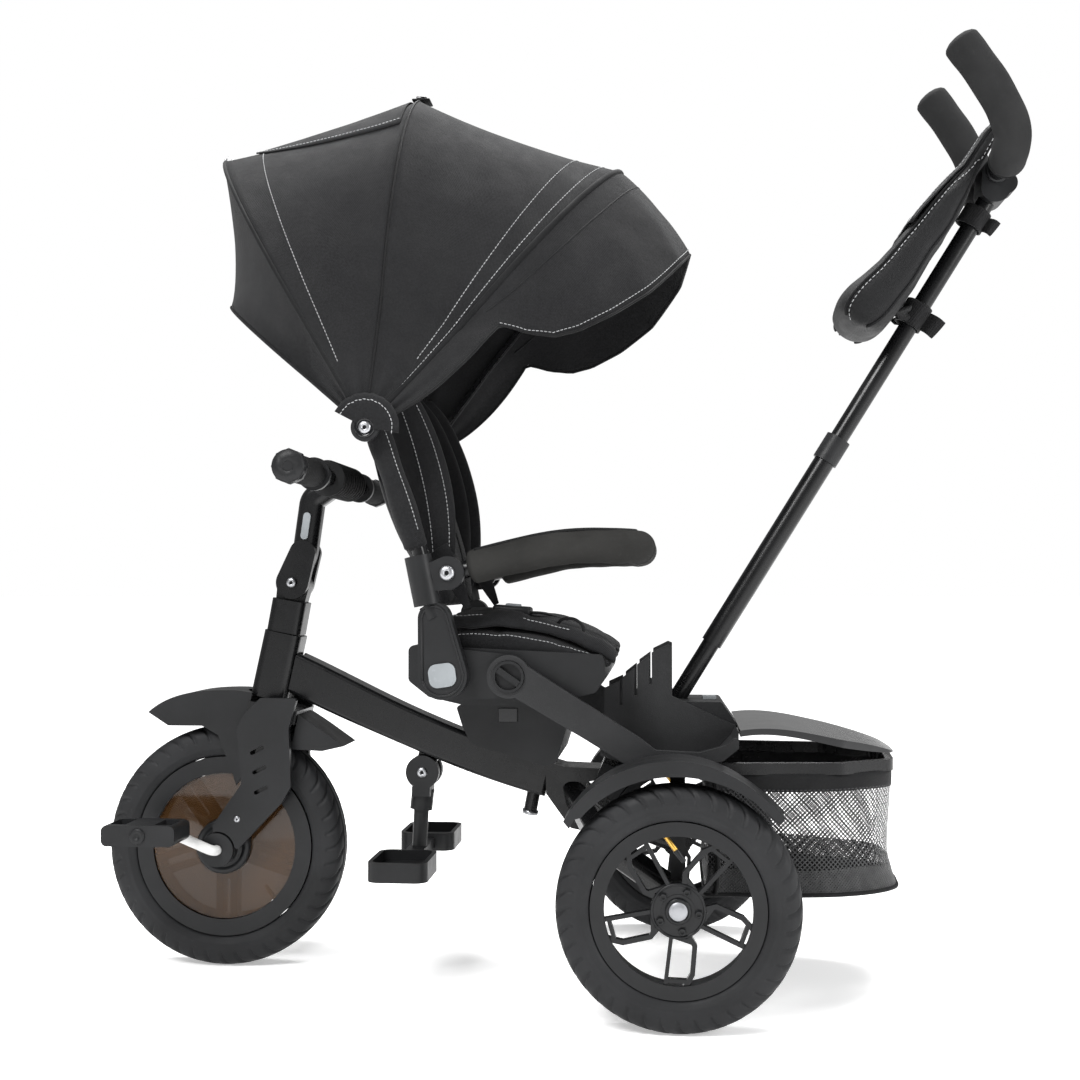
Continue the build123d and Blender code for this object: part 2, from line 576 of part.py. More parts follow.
# --- push pole ----------------------------------------------------------------------------
def pole_group():
    """The pole stub, its sleeve, the sliding upper tube, the handle and the parents' bag."""
    def on_pole(distance, y=0.0):
        return at(along(POLE_LOW, POLE_HIGH, distance), y)

    lower = rod(on_pole(-46), on_pole(98), POLE_R - GAP) \
        + rod(on_pole(76), on_pole(COLLAR_AT + 4), SLEEVE_R, POLE_R + FIT) \
        + rod(on_pole(76), on_pole(98), SLEEVE_R)
    collar = rod(on_pole(COLLAR_AT), on_pole(COLLAR_AT + 32), 15, POLE_R + FIT)
    collar = collar - rod(on_pole(COLLAR_AT - 1), on_pole(COLLAR_AT + 4), SLEEVE_R)
    upper = rod(on_pole(COLLAR_AT - 120), on_pole(700), POLE_R, 9)
    top = along(POLE_LOW, POLE_HIGH, 706)
    bracket = side_plate(capsule(HANDLE, 17, top, 17), 44)
    disc = round_bar(535, 934, 13, 30)
    bracket = bracket + disc - round_bar(*HANDLE, 11 + FIT, 60) - rod(on_pole(600), on_pole(700), POLE_R)
    route = [at((470, 1070), -HANDLE_HALF_W), at((526, 986), -HANDLE_HALF_W),
             at(HANDLE, -HANDLE_HALF_W), at(HANDLE, HANDLE_HALF_W),
             at((526, 986), HANDLE_HALF_W), at((470, 1070), HANDLE_HALF_W)]
    bar = bent(route, [60, 22, 22, 60], Circle(11))
    grip_route = route[:3] + [at(HANDLE, -66)]
    grip = bent(grip_route, [60, 22], Circle(20.5) - Circle(11))
    bag = outline([(338, 786), (350, 773), (382, 757), (400, 772), (498, 928), (470, 930),
                   (440, 908), (396, 850)], 5)
    neck = outline([(473.8, 937), (440, 890), (480, 912), (489.5, 927.3), (527.5, 988.4), (515, 996)], 2)
    bag = side_plate(bag, 150) + side_plate(neck, 110)
    bag = bag - rod(on_pole(300), on_pole(760), POLE_R + 6)
    return {
        "pole_lower": lower,
        "pole_collar": collar,
        "pole_upper": upper,
        "handle_bracket": bracket,
        "handle_bar": bar,
        "handle_grips": both_sides(grip),
        "parents_bag": bag,
    }


def build():
    """All nodes of the tricycle, by name."""
    wheel, near, far = front_wheel()
    nodes = {**wheel, **fork_group(), **handlebar_group(), **frame_group()}
    nodes["pedal_right"] = pedal(near, -110)
    nodes["pedal_left"] = pedal(far, 110)
    for name, side in SIDES.items():
        casing, rim = rear_wheel(side)
        nodes["rear_tyre_" + name] = casing
        nodes["rear_rim_" + name] = rim
    nodes["footrests"] = footrests()
    nodes["rear_fenders"] = rear_fenders()
    nodes["pole_socket"] = pole_socket()
    nodes["pole_button"] = Pos(186, 0, 325) * Box(16, 30, 8)
    for group in (basket_group, foot_pegs, seat_group, back_group, canopy_group, pole_group):
        nodes.update(group())
    return nodes


os.makedirs("parts", exist_ok=True)
for node, shape in build().items():
    export_step(shape, "parts/" + node + ".step")
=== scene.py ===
import json
from math import atan2, cos, exp, pi, radians, sin, sqrt

import bpy
import bmesh
from mathutils import Matrix, Vector, noise

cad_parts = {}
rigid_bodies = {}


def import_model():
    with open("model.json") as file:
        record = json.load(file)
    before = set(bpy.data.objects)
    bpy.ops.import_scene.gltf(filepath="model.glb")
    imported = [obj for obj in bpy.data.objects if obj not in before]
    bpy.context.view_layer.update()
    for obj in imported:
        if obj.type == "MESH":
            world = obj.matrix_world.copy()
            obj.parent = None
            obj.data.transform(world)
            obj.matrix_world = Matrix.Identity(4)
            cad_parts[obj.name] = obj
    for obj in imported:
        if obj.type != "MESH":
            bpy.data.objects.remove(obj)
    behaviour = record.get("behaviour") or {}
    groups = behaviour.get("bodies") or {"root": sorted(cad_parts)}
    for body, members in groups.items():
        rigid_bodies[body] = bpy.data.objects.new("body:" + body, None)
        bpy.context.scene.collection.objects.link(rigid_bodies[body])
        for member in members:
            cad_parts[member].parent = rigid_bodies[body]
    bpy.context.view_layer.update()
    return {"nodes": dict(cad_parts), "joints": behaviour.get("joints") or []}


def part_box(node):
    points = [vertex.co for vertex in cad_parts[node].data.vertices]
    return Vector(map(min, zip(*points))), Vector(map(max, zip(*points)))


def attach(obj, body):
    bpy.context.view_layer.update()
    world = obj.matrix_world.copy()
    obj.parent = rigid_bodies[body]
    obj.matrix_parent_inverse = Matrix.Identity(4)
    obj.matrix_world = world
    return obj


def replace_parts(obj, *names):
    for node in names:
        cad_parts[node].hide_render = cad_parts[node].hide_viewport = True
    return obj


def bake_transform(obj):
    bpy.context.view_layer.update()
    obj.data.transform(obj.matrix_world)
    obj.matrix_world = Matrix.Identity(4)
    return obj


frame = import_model()
nodes = frame["nodes"]
joint_at = {j["name"]: Vector(j["pos_m"]) * 1000 for j in frame["joints"] if "pos_m" in j}
scene = bpy.context.scene
SIDES = {"left": 1, "right": -1}
UP = Vector((0, 0, 1))
ACROSS = Vector((0, 1, 0))


# --- camera -------------------------------------------------------------------------------
lens = bpy.data.cameras.new("camera")
lens.lens = 48.01
lens.sensor_width = 36
camera = bpy.data.objects.new("camera", lens)
camera.location = (0.1417, -1.7359, 0.4602)
camera.rotation_euler = (radians(91.817), 0, radians(5.219))
scene.collection.objects.link(camera)
scene.camera = camera


# --- material building --------------------------------------------------------------------
def feed(tree, value, socket):
    """Sets a socket, or links it when the value is another node's output."""
    if hasattr(value, "links"):
        tree.links.new(value, socket)
    else:
        socket.default_value = value


def add_node(tree, kind, values=None, **options):
    """A shader node with its options and its unlinked inputs set."""
    made = tree.nodes.new(kind)
    for key, value in options.items():
        setattr(made, key, value)
    for key, value in (values or {}).items():
        feed(tree, value, made.inputs[key])
    return made


def new_material(name):
    material = bpy.data.materials.new(name)
    material.use_nodes = True
    return material, material.node_tree, material.node_tree.nodes["Principled BSDF"]


def shade(colour, factor=1.0):
    return tuple(min(1.0, c * factor) for c in colour) + (1.0,)


def position(tree):
    return add_node(tree, "ShaderNodeTexCoord").outputs["Object"]


def speckle(tree, vector, size_mm, detail=2.0, roughness=0.5):
    """Noise whose blotches are about size_mm across."""
    made = add_node(tree, "ShaderNodeTexNoise",
                    {"Vector": vector, "Scale": 1000 / size_mm, "Detail": detail,
                     "Roughness": roughness})
    return made.outputs["Fac"]


def remap(tree, value, low, high, to_low, to_high):
    made = add_node(tree, "ShaderNodeMapRange",
                    {"Value": value, "From Min": low, "From Max": high,
                     "To Min": to_low, "To Max": to_high})
    return made.outputs["Result"]


def blend_colours(tree, factor, first, second):
    made = add_node(tree, "ShaderNodeMix", data_type="RGBA")
    for index, value in ((0, factor), (6, first), (7, second)):
        feed(tree, value, made.inputs[index])
    return made.outputs[2]


def arithmetic(tree, operation, first, second):
    made = add_node(tree, "ShaderNodeMath", operation=operation)
    for index, value in enumerate((first, second)):
        feed(tree, value, made.inputs[index])
    return made.outputs[0]


def relief(tree, shader, height, depth_mm, strength=1.0):
    made = add_node(tree, "ShaderNodeBump",
                    {"Height": height, "Distance": depth_mm / 1000, "Strength": strength})
    tree.links.new(made.outputs["Normal"], shader.inputs["Normal"])


def moulded(name, colour, rough, grain_mm=0.9, depth_mm=0.12, spread=0.07, wear=0.3,
            metallic=0.0, coat=0.0, specular=0.22):
    """Paint, plastic, rubber or metal: mottled colour, grain, uneven gloss and small scuffs."""
    material, tree, shader = new_material(name)
    here = position(tree)
    mottled = blend_colours(tree, remap(tree, speckle(tree, here, 70, 4), 0.35, 0.65, 0, 1),
                            shade(colour, 0.82), shade(colour, 1.2))
    dusty = blend_colours(tree, remap(tree, speckle(tree, here, 6, 5, 0.7), 0.55, 0.8, 0, 0.35),
                          mottled, shade(colour, 1.7))
    scuffed = remap(tree, speckle(tree, here, 11, 6, 0.75), 0.62, 0.74, 0, wear)
    patchy = remap(tree, speckle(tree, here, 60, 2), 0.45, 0.65, 0, 1)
    worn = arithmetic(tree, "MULTIPLY", scuffed, patchy)
    pale = tuple(0.6 * c + 0.05 for c in colour)
    tree.links.new(blend_colours(tree, worn, dusty, shade(pale)), shader.inputs["Base Color"])
    gloss = remap(tree, speckle(tree, here, 22, 5, 0.65), 0.3, 0.7, rough - spread, rough + spread)
    tree.links.new(gloss, shader.inputs["Roughness"])
    relief(tree, shader, speckle(tree, here, grain_mm, 3, 0.6), depth_mm, 0.6)
    shader.inputs["Metallic"].default_value = metallic
    shader.inputs["Coat Weight"].default_value = coat
    shader.inputs["Coat Roughness"].default_value = 0.08
    shader.inputs["Specular IOR Level"].default_value = specular
    return material


def bands(tree, vector, pitch_mm, direction):
    """A sine wave across the cloth, from 0 to 1, with one crest every pitch_mm."""
    made = add_node(tree, "ShaderNodeTexWave", {"Vector": vector, "Scale": 314.16 / pitch_mm},
                    bands_direction=direction)
    return made.outputs["Fac"]


def turned(tree, vector, rotation):
    made = add_node(tree, "ShaderNodeMapping", {"Vector": vector, "Rotation": rotation})
    return made.outputs["Vector"]


def woven(name, colour, pitch_mm=1.5, depth_mm=0.3, rough=0.85, sheen=0.25, uv=False):
    """Woven cloth: crossing threads with painted shade in the gaps between them, heathered yarn, soft folds
    and a faint sheen.
    """
    material, tree, shader = new_material(name)
    here = position(tree)
    along = add_node(tree, "ShaderNodeTexCoord").outputs["UV"] if uv else here
    if uv:
        warp, weft = bands(tree, along, pitch_mm, "X"), bands(tree, along, pitch_mm, "Y")
    else:
        warp = bands(tree, turned(tree, here, (0.3, radians(45), 0.2)), pitch_mm, "X")
        weft = bands(tree, turned(tree, here, (0.2, radians(-45), 0.5)), pitch_mm, "X")
    threads = arithmetic(tree, "MAXIMUM", warp, weft)
    heather = remap(tree, speckle(tree, here, 2.2, 3, 0.7), 0.35, 0.7, 0, 1)
    faded = remap(tree, speckle(tree, here, 120, 3), 0.35, 0.65, 0, 1)
    yarn = blend_colours(tree, heather, shade(colour, 0.7), shade(colour, 1.5))
    washed = blend_colours(tree, arithmetic(tree, "MULTIPLY", faded, 0.35), yarn, shade(colour, 1.6))
    # painted shade: the gaps between the threads are darkened towards a third of the yarn colour, standing
    # in for the shade that falls in the weave
    gaps = remap(tree, threads, 0.0, 0.6, 0.55, 0.0)
    tree.links.new(blend_colours(tree, gaps, washed, shade(colour, 0.35)),
                   shader.inputs["Base Color"])
    tree.links.new(remap(tree, speckle(tree, here, 30, 4), 0.3, 0.7, rough - 0.08, min(1, rough + 0.1)),
                   shader.inputs["Roughness"])
    puckers = arithmetic(tree, "MULTIPLY", speckle(tree, here, 9, 4, 0.6), 1.6)
    relief(tree, shader, arithmetic(tree, "ADD", threads, puckers), depth_mm)
    shader.inputs["Sheen Weight"].default_value = sheen
    shader.inputs["Sheen Roughness"].default_value = 0.45
    shader.inputs["Specular IOR Level"].default_value = 0.16
    return material


def netting(name, colour, pitch_mm, hole):
    """See-through net: crossing threads with open holes between them."""
    material, tree, shader = new_material(name)
    along = turned(tree, add_node(tree, "ShaderNodeTexCoord").outputs["UV"], (0, 0, radians(45)))
    threads = arithmetic(tree, "MAXIMUM", bands(tree, along, pitch_mm, "X"),
                         bands(tree, along, pitch_mm, "Y"))
    here = position(tree)
    yarn = blend_colours(tree, remap(tree, speckle(tree, here, 5, 3), 0.3, 0.7, 0, 1),
                         shade(colour, 0.7), shade(colour, 1.6))
    tree.links.new(yarn, shader.inputs["Base Color"])
    tree.links.new(remap(tree, threads, hole - 0.06, hole + 0.06, 0, 1), shader.inputs["Alpha"])
    tree.links.new(remap(tree, speckle(tree, here, 9, 3), 0.3, 0.7, 0.5, 0.75),
                   shader.inputs["Roughness"])
    relief(tree, shader, threads, 0.4)
    shader.inputs["Sheen Weight"].default_value = 0.2
    return material


def smoked(name, colour):
    """Tinted clear plastic with faint moulding marks."""
    material, tree, shader = new_material(name)
    here = position(tree)
    tint = blend_colours(tree, remap(tree, speckle(tree, here, 40, 3), 0.3, 0.7, 0, 1),
                         shade(colour, 0.9), shade(colour, 1.08))
    tree.links.new(tint, shader.inputs["Base Color"])
    shader.inputs["Roughness"].default_value = 0.08
    shader.inputs["IOR"].default_value = 1.4
    shader.inputs["Alpha"].default_value = 0.7
    return material


PAINT = moulded("frame_paint", (0.0048, 0.0049, 0.0053), 0.27, 1.6, 0.04, 0.05, 0.3, specular=0.26)
PLASTIC = moulded("textured_plastic", (0.0108, 0.0111, 0.0118), 0.43, 0.8, 0.12, 0.06, 0.35,
                  specular=0.22)
TRAY = moulded("tray_plastic", (0.0185, 0.0188, 0.0196), 0.5, 1.5, 0.4, 0.06, 0.3)
GLOSS = moulded("gloss_plastic", (0.004, 0.0042, 0.005), 0.14, 6, 0.04, 0.04, 0.15, coat=0.35)
RIM = moulded("rim_plastic", (0.0052, 0.0055, 0.0062), 0.36, 0.9, 0.06, 0.05, 0.35, specular=0.28)
RUBBER = moulded("tyre_rubber", (0.0135, 0.0138, 0.0148), 0.6, 0.8, 0.1, 0.08, 0.45)
STEEL = moulded("bright_steel", (0.6, 0.6, 0.61), 0.26, 1.2, 0.03, 0.08, 0.1, metallic=1.0)
ZINC = moulded("zinc_screw", (0.38, 0.385, 0.4), 0.34, 0.8, 0.05, 0.1, 0.2, metallic=1.0)
BRASS = moulded("brass_valve", (0.6, 0.36, 0.08), 0.3, 0.8, 0.04, 0.08, 0.2, metallic=1.0)
CHALK = moulded("crank_finish", (0.68, 0.68, 0.67), 0.35, 1.5, 0.05, 0.08, 0.1, coat=0.2)
SATIN = moulded("satin_cap", (0.30, 0.305, 0.32), 0.42, 1.0, 0.04, 0.06, 0.1, metallic=0.6)
GREY = moulded("grey_button", (0.21, 0.225, 0.235), 0.46, 0.8, 0.06, 0.05, 0.2)
FOAM = moulded("foam_grip", (0.018, 0.0181, 0.0184), 0.88, 1.1, 0.45, 0.06, 0.15, specular=0.12)
GUARD_FOAM = moulded("guard_foam", (0.0225, 0.0222, 0.0212), 0.9, 1.5, 0.6, 0.06, 0.15, specular=0.1)
SMOKE = smoked("smoked_plastic", (0.05, 0.0245, 0.0095))
CANVAS = woven("canopy_cloth", (0.0098, 0.0099, 0.0106), 1.7, 0.28, sheen=0.06, uv=True)
PADDING = woven("pad_cloth", (0.0092, 0.0093, 0.01), 1.6, 0.3, sheen=0.06)
BAG_CLOTH = woven("bag_cloth", (0.0062, 0.0063, 0.0068), 1.3, 0.22, 0.55, 0.03)
WEBBING = woven("webbing", (0.008, 0.008, 0.0085), 2.4, 0.5, 0.7, 0.06)
PIPING = woven("piping", (0.0052, 0.0053, 0.0057), 1.2, 0.2, 0.65, 0.04)
THREAD = woven("topstitch_thread", (0.30, 0.305, 0.31), 0.9, 0.15, 0.7, 0.3)
DARK_THREAD = woven("dark_thread", (0.03, 0.03, 0.033), 0.9, 0.15, 0.7, 0.3)
NET = netting("basket_net", (0.008, 0.0082, 0.009), 3.9, 0.74)
DENSE_NET = netting("dense_net", (0.006, 0.0062, 0.0068), 2.6, 0.3)


# --- mesh building ------------------------------------------------------------------------
def piece(name, vertices, faces, material, body=None, smooth=True, uvs=None, closed=True):
    """A mesh object from millimetre vertices, riding on a body when one is named."""
    mesh = bpy.data.meshes.new(name)
    mesh.from_pydata([Vector(v) / 1000 for v in vertices], [], faces)
    mesh.validate()
    if closed:
        work = bmesh.new()
        work.from_mesh(mesh)
        bmesh.ops.recalc_face_normals(work, faces=work.faces)
        work.to_mesh(mesh)
        work.free()
    if uvs:
        layer = mesh.uv_layers.new(name="UVMap")
        for loop in mesh.loops:
            layer.data[loop.index].uv = uvs[loop.vertex_index]
    mesh.materials.append(material)
    mesh.polygons.foreach_set("use_smooth", [smooth] * len(mesh.polygons))
    made = bpy.data.objects.new(name, mesh)
    scene.collection.objects.link(made)
    if body:
        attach(made, body)
    return made


def grid_faces(rows, columns, wrap_columns=False, wrap_rows=False):
    """Quads over a grid of vertices stored row by row."""
    faces = []
    for i in range(rows if wrap_rows else rows - 1):
        for j in range(columns if wrap_columns else columns - 1):
            here, there = i * columns, ((i + 1) % rows) * columns
            across = (j + 1) % columns
            faces.append((here + j, here + across, there + across, there + j))
    return faces


def capped_faces(rows, around):
    """The faces of a tube of vertex rings, closed by one face at each end."""
    total = rows * around
    return grid_faces(rows, around, wrap_columns=True) \
        + [tuple(range(around)), tuple(range(total - around, total))]


def smooth_line(points, per_run=8):
    """A Catmull-Rom line through the points."""
    points = [Vector(p) for p in points]
    padded = [2 * points[0] - points[1], *points, 2 * points[-1] - points[-2]]
    line = []
    for i in range(1, len(padded) - 2):
        a, b, c, d = padded[i - 1:i + 3]
        for step in range(per_run):
            t = step / per_run
            line.append(0.5 * (2 * b + (c - a) * t + (2 * a - 5 * b + 4 * c - d) * t * t
                               + (3 * b - a - 3 * c + d) * t ** 3))
    return line + [points[-1]]


def spaced_line(points, step):
    """Points at an even spacing along a polyline, with the tangent at each."""
    result, travelled, target = [], 0.0, 0.0
    for a, b in zip(points, points[1:]):
        run = (b - a).length
        while run > 1e-9 and target <= travelled + run:
            result.append((a.lerp(b, (target - travelled) / run), (b - a) / run))
            target += step
        travelled += run
    return result


def value_at(table, t):
    """Linear interpolation of tuples in a table of (t, values...)."""
    for first, second in zip(table, table[1:]):
        if t <= second[0]:
            part = (t - first[0]) / (second[0] - first[0])
            part = max(0.0, part)
            return [a + (b - a) * part for a, b in zip(first[1:], second[1:])]
    return list(table[-1][1:])


def sweep(name, line, radius, material, body, sides=20, flat=1.0, flat_axis=None, round_end=True):
    """A tube along a line. radius is a number or a function of 0..1; flat squeezes it."""
    size = radius if callable(radius) else (lambda t: radius)
    stations = [(p, size(i / (len(line) - 1))) for i, p in enumerate(line)]
    if round_end:
        start = (line[0] - line[1]).normalized()
        finish = (line[-1] - line[-2]).normalized()
        r0, r1 = stations[0][1], stations[-1][1]
        caps = [(0.98, 0.18), (0.86, 0.5), (0.6, 0.8), (0.3, 0.95), (0.02, 1.0)]
        depth = 0.45 * flat
        stations = [(line[0] + start * r0 * depth * out, r0 * wide) for wide, out in reversed(caps)] \
            + stations + [(line[-1] + finish * r1 * depth * out, r1 * wide) for wide, out in caps]
    axis = flat_axis or ACROSS
    vertices = []
    for i, (p, r) in enumerate(stations):
        before = stations[max(i - 1, 0)][0]
        after = stations[min(i + 1, len(stations) - 1)][0]
        tangent = (after - before).normalized()
        side = axis - tangent * axis.dot(tangent)
        if side.length < 0.05:
            side = UP - tangent * UP.dot(tangent)
        side.normalize()
        other = tangent.cross(side)
        for k in range(sides):
            a = 2 * pi * k / sides
            vertices.append(p + side * (r * flat * cos(a)) + other * (r * sin(a)))
    faces = grid_faces(len(stations), sides, wrap_columns=True)
    faces.append(tuple(reversed(range(sides))))
    faces.append(tuple(range(len(vertices) - sides, len(vertices))))
    return piece(name, vertices, faces, material, body)


def lathe(name, profile, centre, axis, material, body, turns=40, smooth=True):
    """A turned piece: profile is (radius, distance along axis) from the centre."""
    axis = Vector(axis).normalized()
    side = axis.orthogonal().normalized()
    other = axis.cross(side)
    vertices = []
    for r, along in profile:
        for k in range(turns):
            a = 2 * pi * k / turns
            vertices.append(Vector(centre) + axis * along + (side * cos(a) + other * sin(a)) * r)
    return piece(name, vertices, capped_faces(len(profile), turns), material, body, smooth)


def plate(name, size, centre, bevel, material, body, turn=(0, 0, 0)):
    """A small block with rounded edges."""
    work = bmesh.new()
    bmesh.ops.create_cube(work, size=1)
    bmesh.ops.scale(work, vec=Vector(size), verts=work.verts)
    bmesh.ops.bevel(work, geom=work.edges[:], offset=bevel, segments=3, affect="EDGES", profile=0.5)
    turning = Matrix.Rotation(radians(turn[2]), 3, "Z") @ Matrix.Rotation(radians(turn[1]), 3, "Y") \
        @ Matrix.Rotation(radians(turn[0]), 3, "X")
    vertices = [turning @ v.co + Vector(centre) for v in work.verts]
    faces = [tuple(v.index for v in f.verts) for f in work.faces]
    work.free()
    return piece(name, vertices, faces, material, body)


THREAD_RADIUS = 0.5


def stitches(name, lines, material=THREAD, body=None, pitch=4.6, length=3.4):
    """Separate thread stitches laid along the lines."""
    vertices, faces = [], []
    for line in lines:
        for p, tangent in spaced_line(line, pitch):
            side = tangent.orthogonal().normalized()
            other = tangent.cross(side)
            first = len(vertices)
            for out, wide in ((-0.5, 0.35), (-0.3, 1.0), (0.3, 1.0), (0.5, 0.35)):
                for k in range(5):
                    a = 2 * pi * k / 5
                    vertices.append(p + tangent * (length * out)
                                    + (side * cos(a) + other * sin(a)) * (THREAD_RADIUS * wide))
            faces += [tuple(first + v for v in f) for f in grid_faces(4, 5, wrap_columns=True)]
            faces += [tuple(range(first + 4, first - 1, -1)), tuple(range(first + 15, first + 20))]
    return piece(name, vertices, faces, material, body)


def joined(name, parts, body):
    """Several pieces of one material made into one object."""
    with bpy.context.temp_override(active_object=parts[0], object=parts[0],
                                   selected_editable_objects=parts, selected_objects=parts):
        bpy.ops.object.join()
    parts[0].name = name
    parts[0].data.name = name
    if parts[0].parent is None:
        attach(parts[0], body)
    return parts[0]


def screw(name, centre, axis, r, body):
    """A round-headed screw of head radius r, with a driver recess."""
    profile = [(0.05, -0.1 * r), (0.3 * r, -0.1 * r), (0.33 * r, 0.36 * r), (0.5 * r, 0.38 * r),
               (0.78 * r, 0.3 * r), (0.96 * r, 0.12 * r), (r, -0.05 * r), (0.99 * r, -0.3 * r)]
    return lathe(name, profile, centre, axis, ZINC, body, 24)


def solid_cloth(obj, thick_mm):
    """Gives an open sheet its cloth thickness."""
    skin = obj.modifiers.new("cloth_thickness", "SOLIDIFY")
    skin.thickness = thick_mm / 1000
    skin.offset = 0
    return obj


def bake_modifiers(obj):
    """Replaces the object's mesh by its evaluated one, so no modifier is left."""
    bpy.context.view_layer.update()
    graph = bpy.context.evaluated_depsgraph_get()
    made = bpy.data.meshes.new_from_object(obj.evaluated_get(graph), depsgraph=graph)
    obj.modifiers.clear()
    obj.data = made
    made.polygons.foreach_set("use_smooth", [True] * len(made.polygons))


def cloth_patch(name, rows, material, thick_mm, uvs=None):
    """An open sheet through rows of points, with its thickness baked in."""
    flat = piece(name, [p for row in rows for p in row], grid_faces(len(rows), len(rows[0])),
                 material, uvs=uvs, closed=False)
    bake_modifiers(solid_cloth(flat, thick_mm))
    return flat


def section_loft(name, stations, material, exponent=3.2, sides=48):
    """A closed shell through rounded sections: (x, z, nx, nz, half thickness, half width)."""
    vertices = []
    for x, z, nx, nz, thick, wide in stations:
        for k in range(sides):
            a = 2 * pi * k / sides
            c, s = cos(a), sin(a)
            y = wide * (1 if c >= 0 else -1) * abs(c) ** (2 / exponent)
            n = thick * (1 if s >= 0 else -1) * abs(s) ** (2 / exponent)
            vertices.append((x + nx * n, y, z + nz * n))
    return piece(name, vertices, capped_faces(len(stations), sides), material)


def profile_stations(rows, steps=5):
    """Smoothly fills in between (x, z, half thickness, half width) rows, adding each normal."""
    line = []
    count = len(rows)
    for i in range(count - 1):
        a, b, c, d = (rows[max(i - 1, 0)], rows[i], rows[i + 1], rows[min(i + 2, count - 1)])
        for step in range(steps):
            t = step / steps
            line.append([0.5 * (2 * q + (r - p) * t + (2 * p - 5 * q + 4 * r - s) * t * t
                                + (3 * q - p - 3 * r + s) * t ** 3)
                         for p, q, r, s in zip(a, b, c, d)])
    line.append(list(rows[-1]))
    stations = []
    for i, (x, z, thick, wide) in enumerate(line):
        before, after = line[max(i - 1, 0)], line[min(i + 1, len(line) - 1)]
        dx, dz = after[0] - before[0], after[1] - before[1]
        size = sqrt(dx * dx + dz * dz) or 1
        stations.append((x, z, dz / size, -dx / size, max(thick, 0.4), max(wide, 0.4)))
    return stations


STUFFING_VOXEL = 0.005
STUFFING_PRESSURE = 4.0
STUFFING_FRAMES = 20
SEAM_WIDTH = 4.5
SEAM_DEPTH = 2.5


def puff(obj, seam_distance, cap_mm):
    """Stuffs a closed cloth shell by simulation, held down along its sewn seams."""
    remesh = obj.modifiers.new("even_mesh", "REMESH")
    remesh.mode = "VOXEL"
    remesh.voxel_size = STUFFING_VOXEL
    bake_modifiers(obj)
    mesh = obj.data
    before = [v.co.copy() for v in mesh.vertices]
    gaps = [seam_distance(co * 1000) for co in before]
    held = obj.vertex_groups.new(name="sewn")
    held.add([i for i, gap in enumerate(gaps) if gap < SEAM_WIDTH], 1.0, "REPLACE")
    cloth = obj.modifiers.new("stuffing", "CLOTH")
    cloth.settings.quality = 4
    cloth.settings.use_pressure = True
    cloth.settings.uniform_pressure_force = STUFFING_PRESSURE
    cloth.settings.effector_weights.gravity = 0
    cloth.settings.vertex_group_mass = "sewn"
    cloth.collision_settings.use_collision = False
    for frame_number in range(1, STUFFING_FRAMES + 1):
        scene.frame_set(frame_number)
    bake_modifiers(obj)
    obj.vertex_groups.clear()
    scene.frame_set(1)
    mesh = obj.data
    mesh.update()
    normals = [v.normal.copy() for v in mesh.vertices]
    for vertex, start, gap, normal in zip(mesh.vertices, before, gaps, normals):
        move = vertex.co - start
        if move.length > cap_mm / 1000:
            move *= cap_mm / 1000 / move.length
        vertex.co = start + move - normal * (SEAM_DEPTH / 1000) * exp(-(gap / SEAM_WIDTH) ** 2)
    rounding = obj.modifiers.new("soften", "SMOOTH")
    rounding.iterations = 2
    bake_modifiers(obj)
    finer = obj.modifiers.new("finer", "SUBSURF")
    finer.levels = 1
    finer.render_levels = 1
    bake_modifiers(obj)


def snapped(obj, points, lift=0.3):
    """The points moved onto the nearest place of a piece's surface."""
    line = []
    for p in points:
        _, place, normal, _ = obj.closest_point_on_mesh(Vector(p) / 1000)
        line.append(place * 1000 + normal * lift)
    return line


# --- carried-over CAD nodes ----------------------------------------------------------------
FINISH = {
    PAINT: ["main_tube", "head_tube", "rear_yoke", "fork", "back_tube", "guard_bar", "pole_lower",
            "pole_upper", "handle_bar", "handlebar", "basket_ring", "stem_upper",
            "steering_column", "rear_bow", "mid_bow", "front_bow"],
    PLASTIC: ["fork_covers", "front_fender", "rear_fenders", "pole_socket", "seat_column",
              "seat_shell", "seat_knob_left", "seat_knob_right", "recline_arms", "back_fittings",
              "pedal_left", "pedal_right", "foot_peg_arm", "foot_peg_trays", "pole_collar",
              "handle_bracket", "grip_left", "grip_right"],
    TRAY: ["footrests"],
    GLOSS: ["basket_lid", "seat_latch"],
    RIM: ["front_rim", "rear_rim_left", "rear_rim_right"],
    STEEL: ["rear_axle"],
    CHALK: ["crank_axle"],
    GREY: ["stem_button", "pole_button", "recline_button_left", "recline_button_right"],
    SMOKE: ["smoked_wheel_covers"],
}
for finish, names in FINISH.items():
    for node_name in names:
        mesh = nodes[node_name].data
        if not len(mesh.materials):
            mesh.materials.append(finish)
        for index in range(len(mesh.materials)):
            mesh.materials[index] = finish


def box_mm(node_name):
    low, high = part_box(node_name)
    return low * 1000, high * 1000


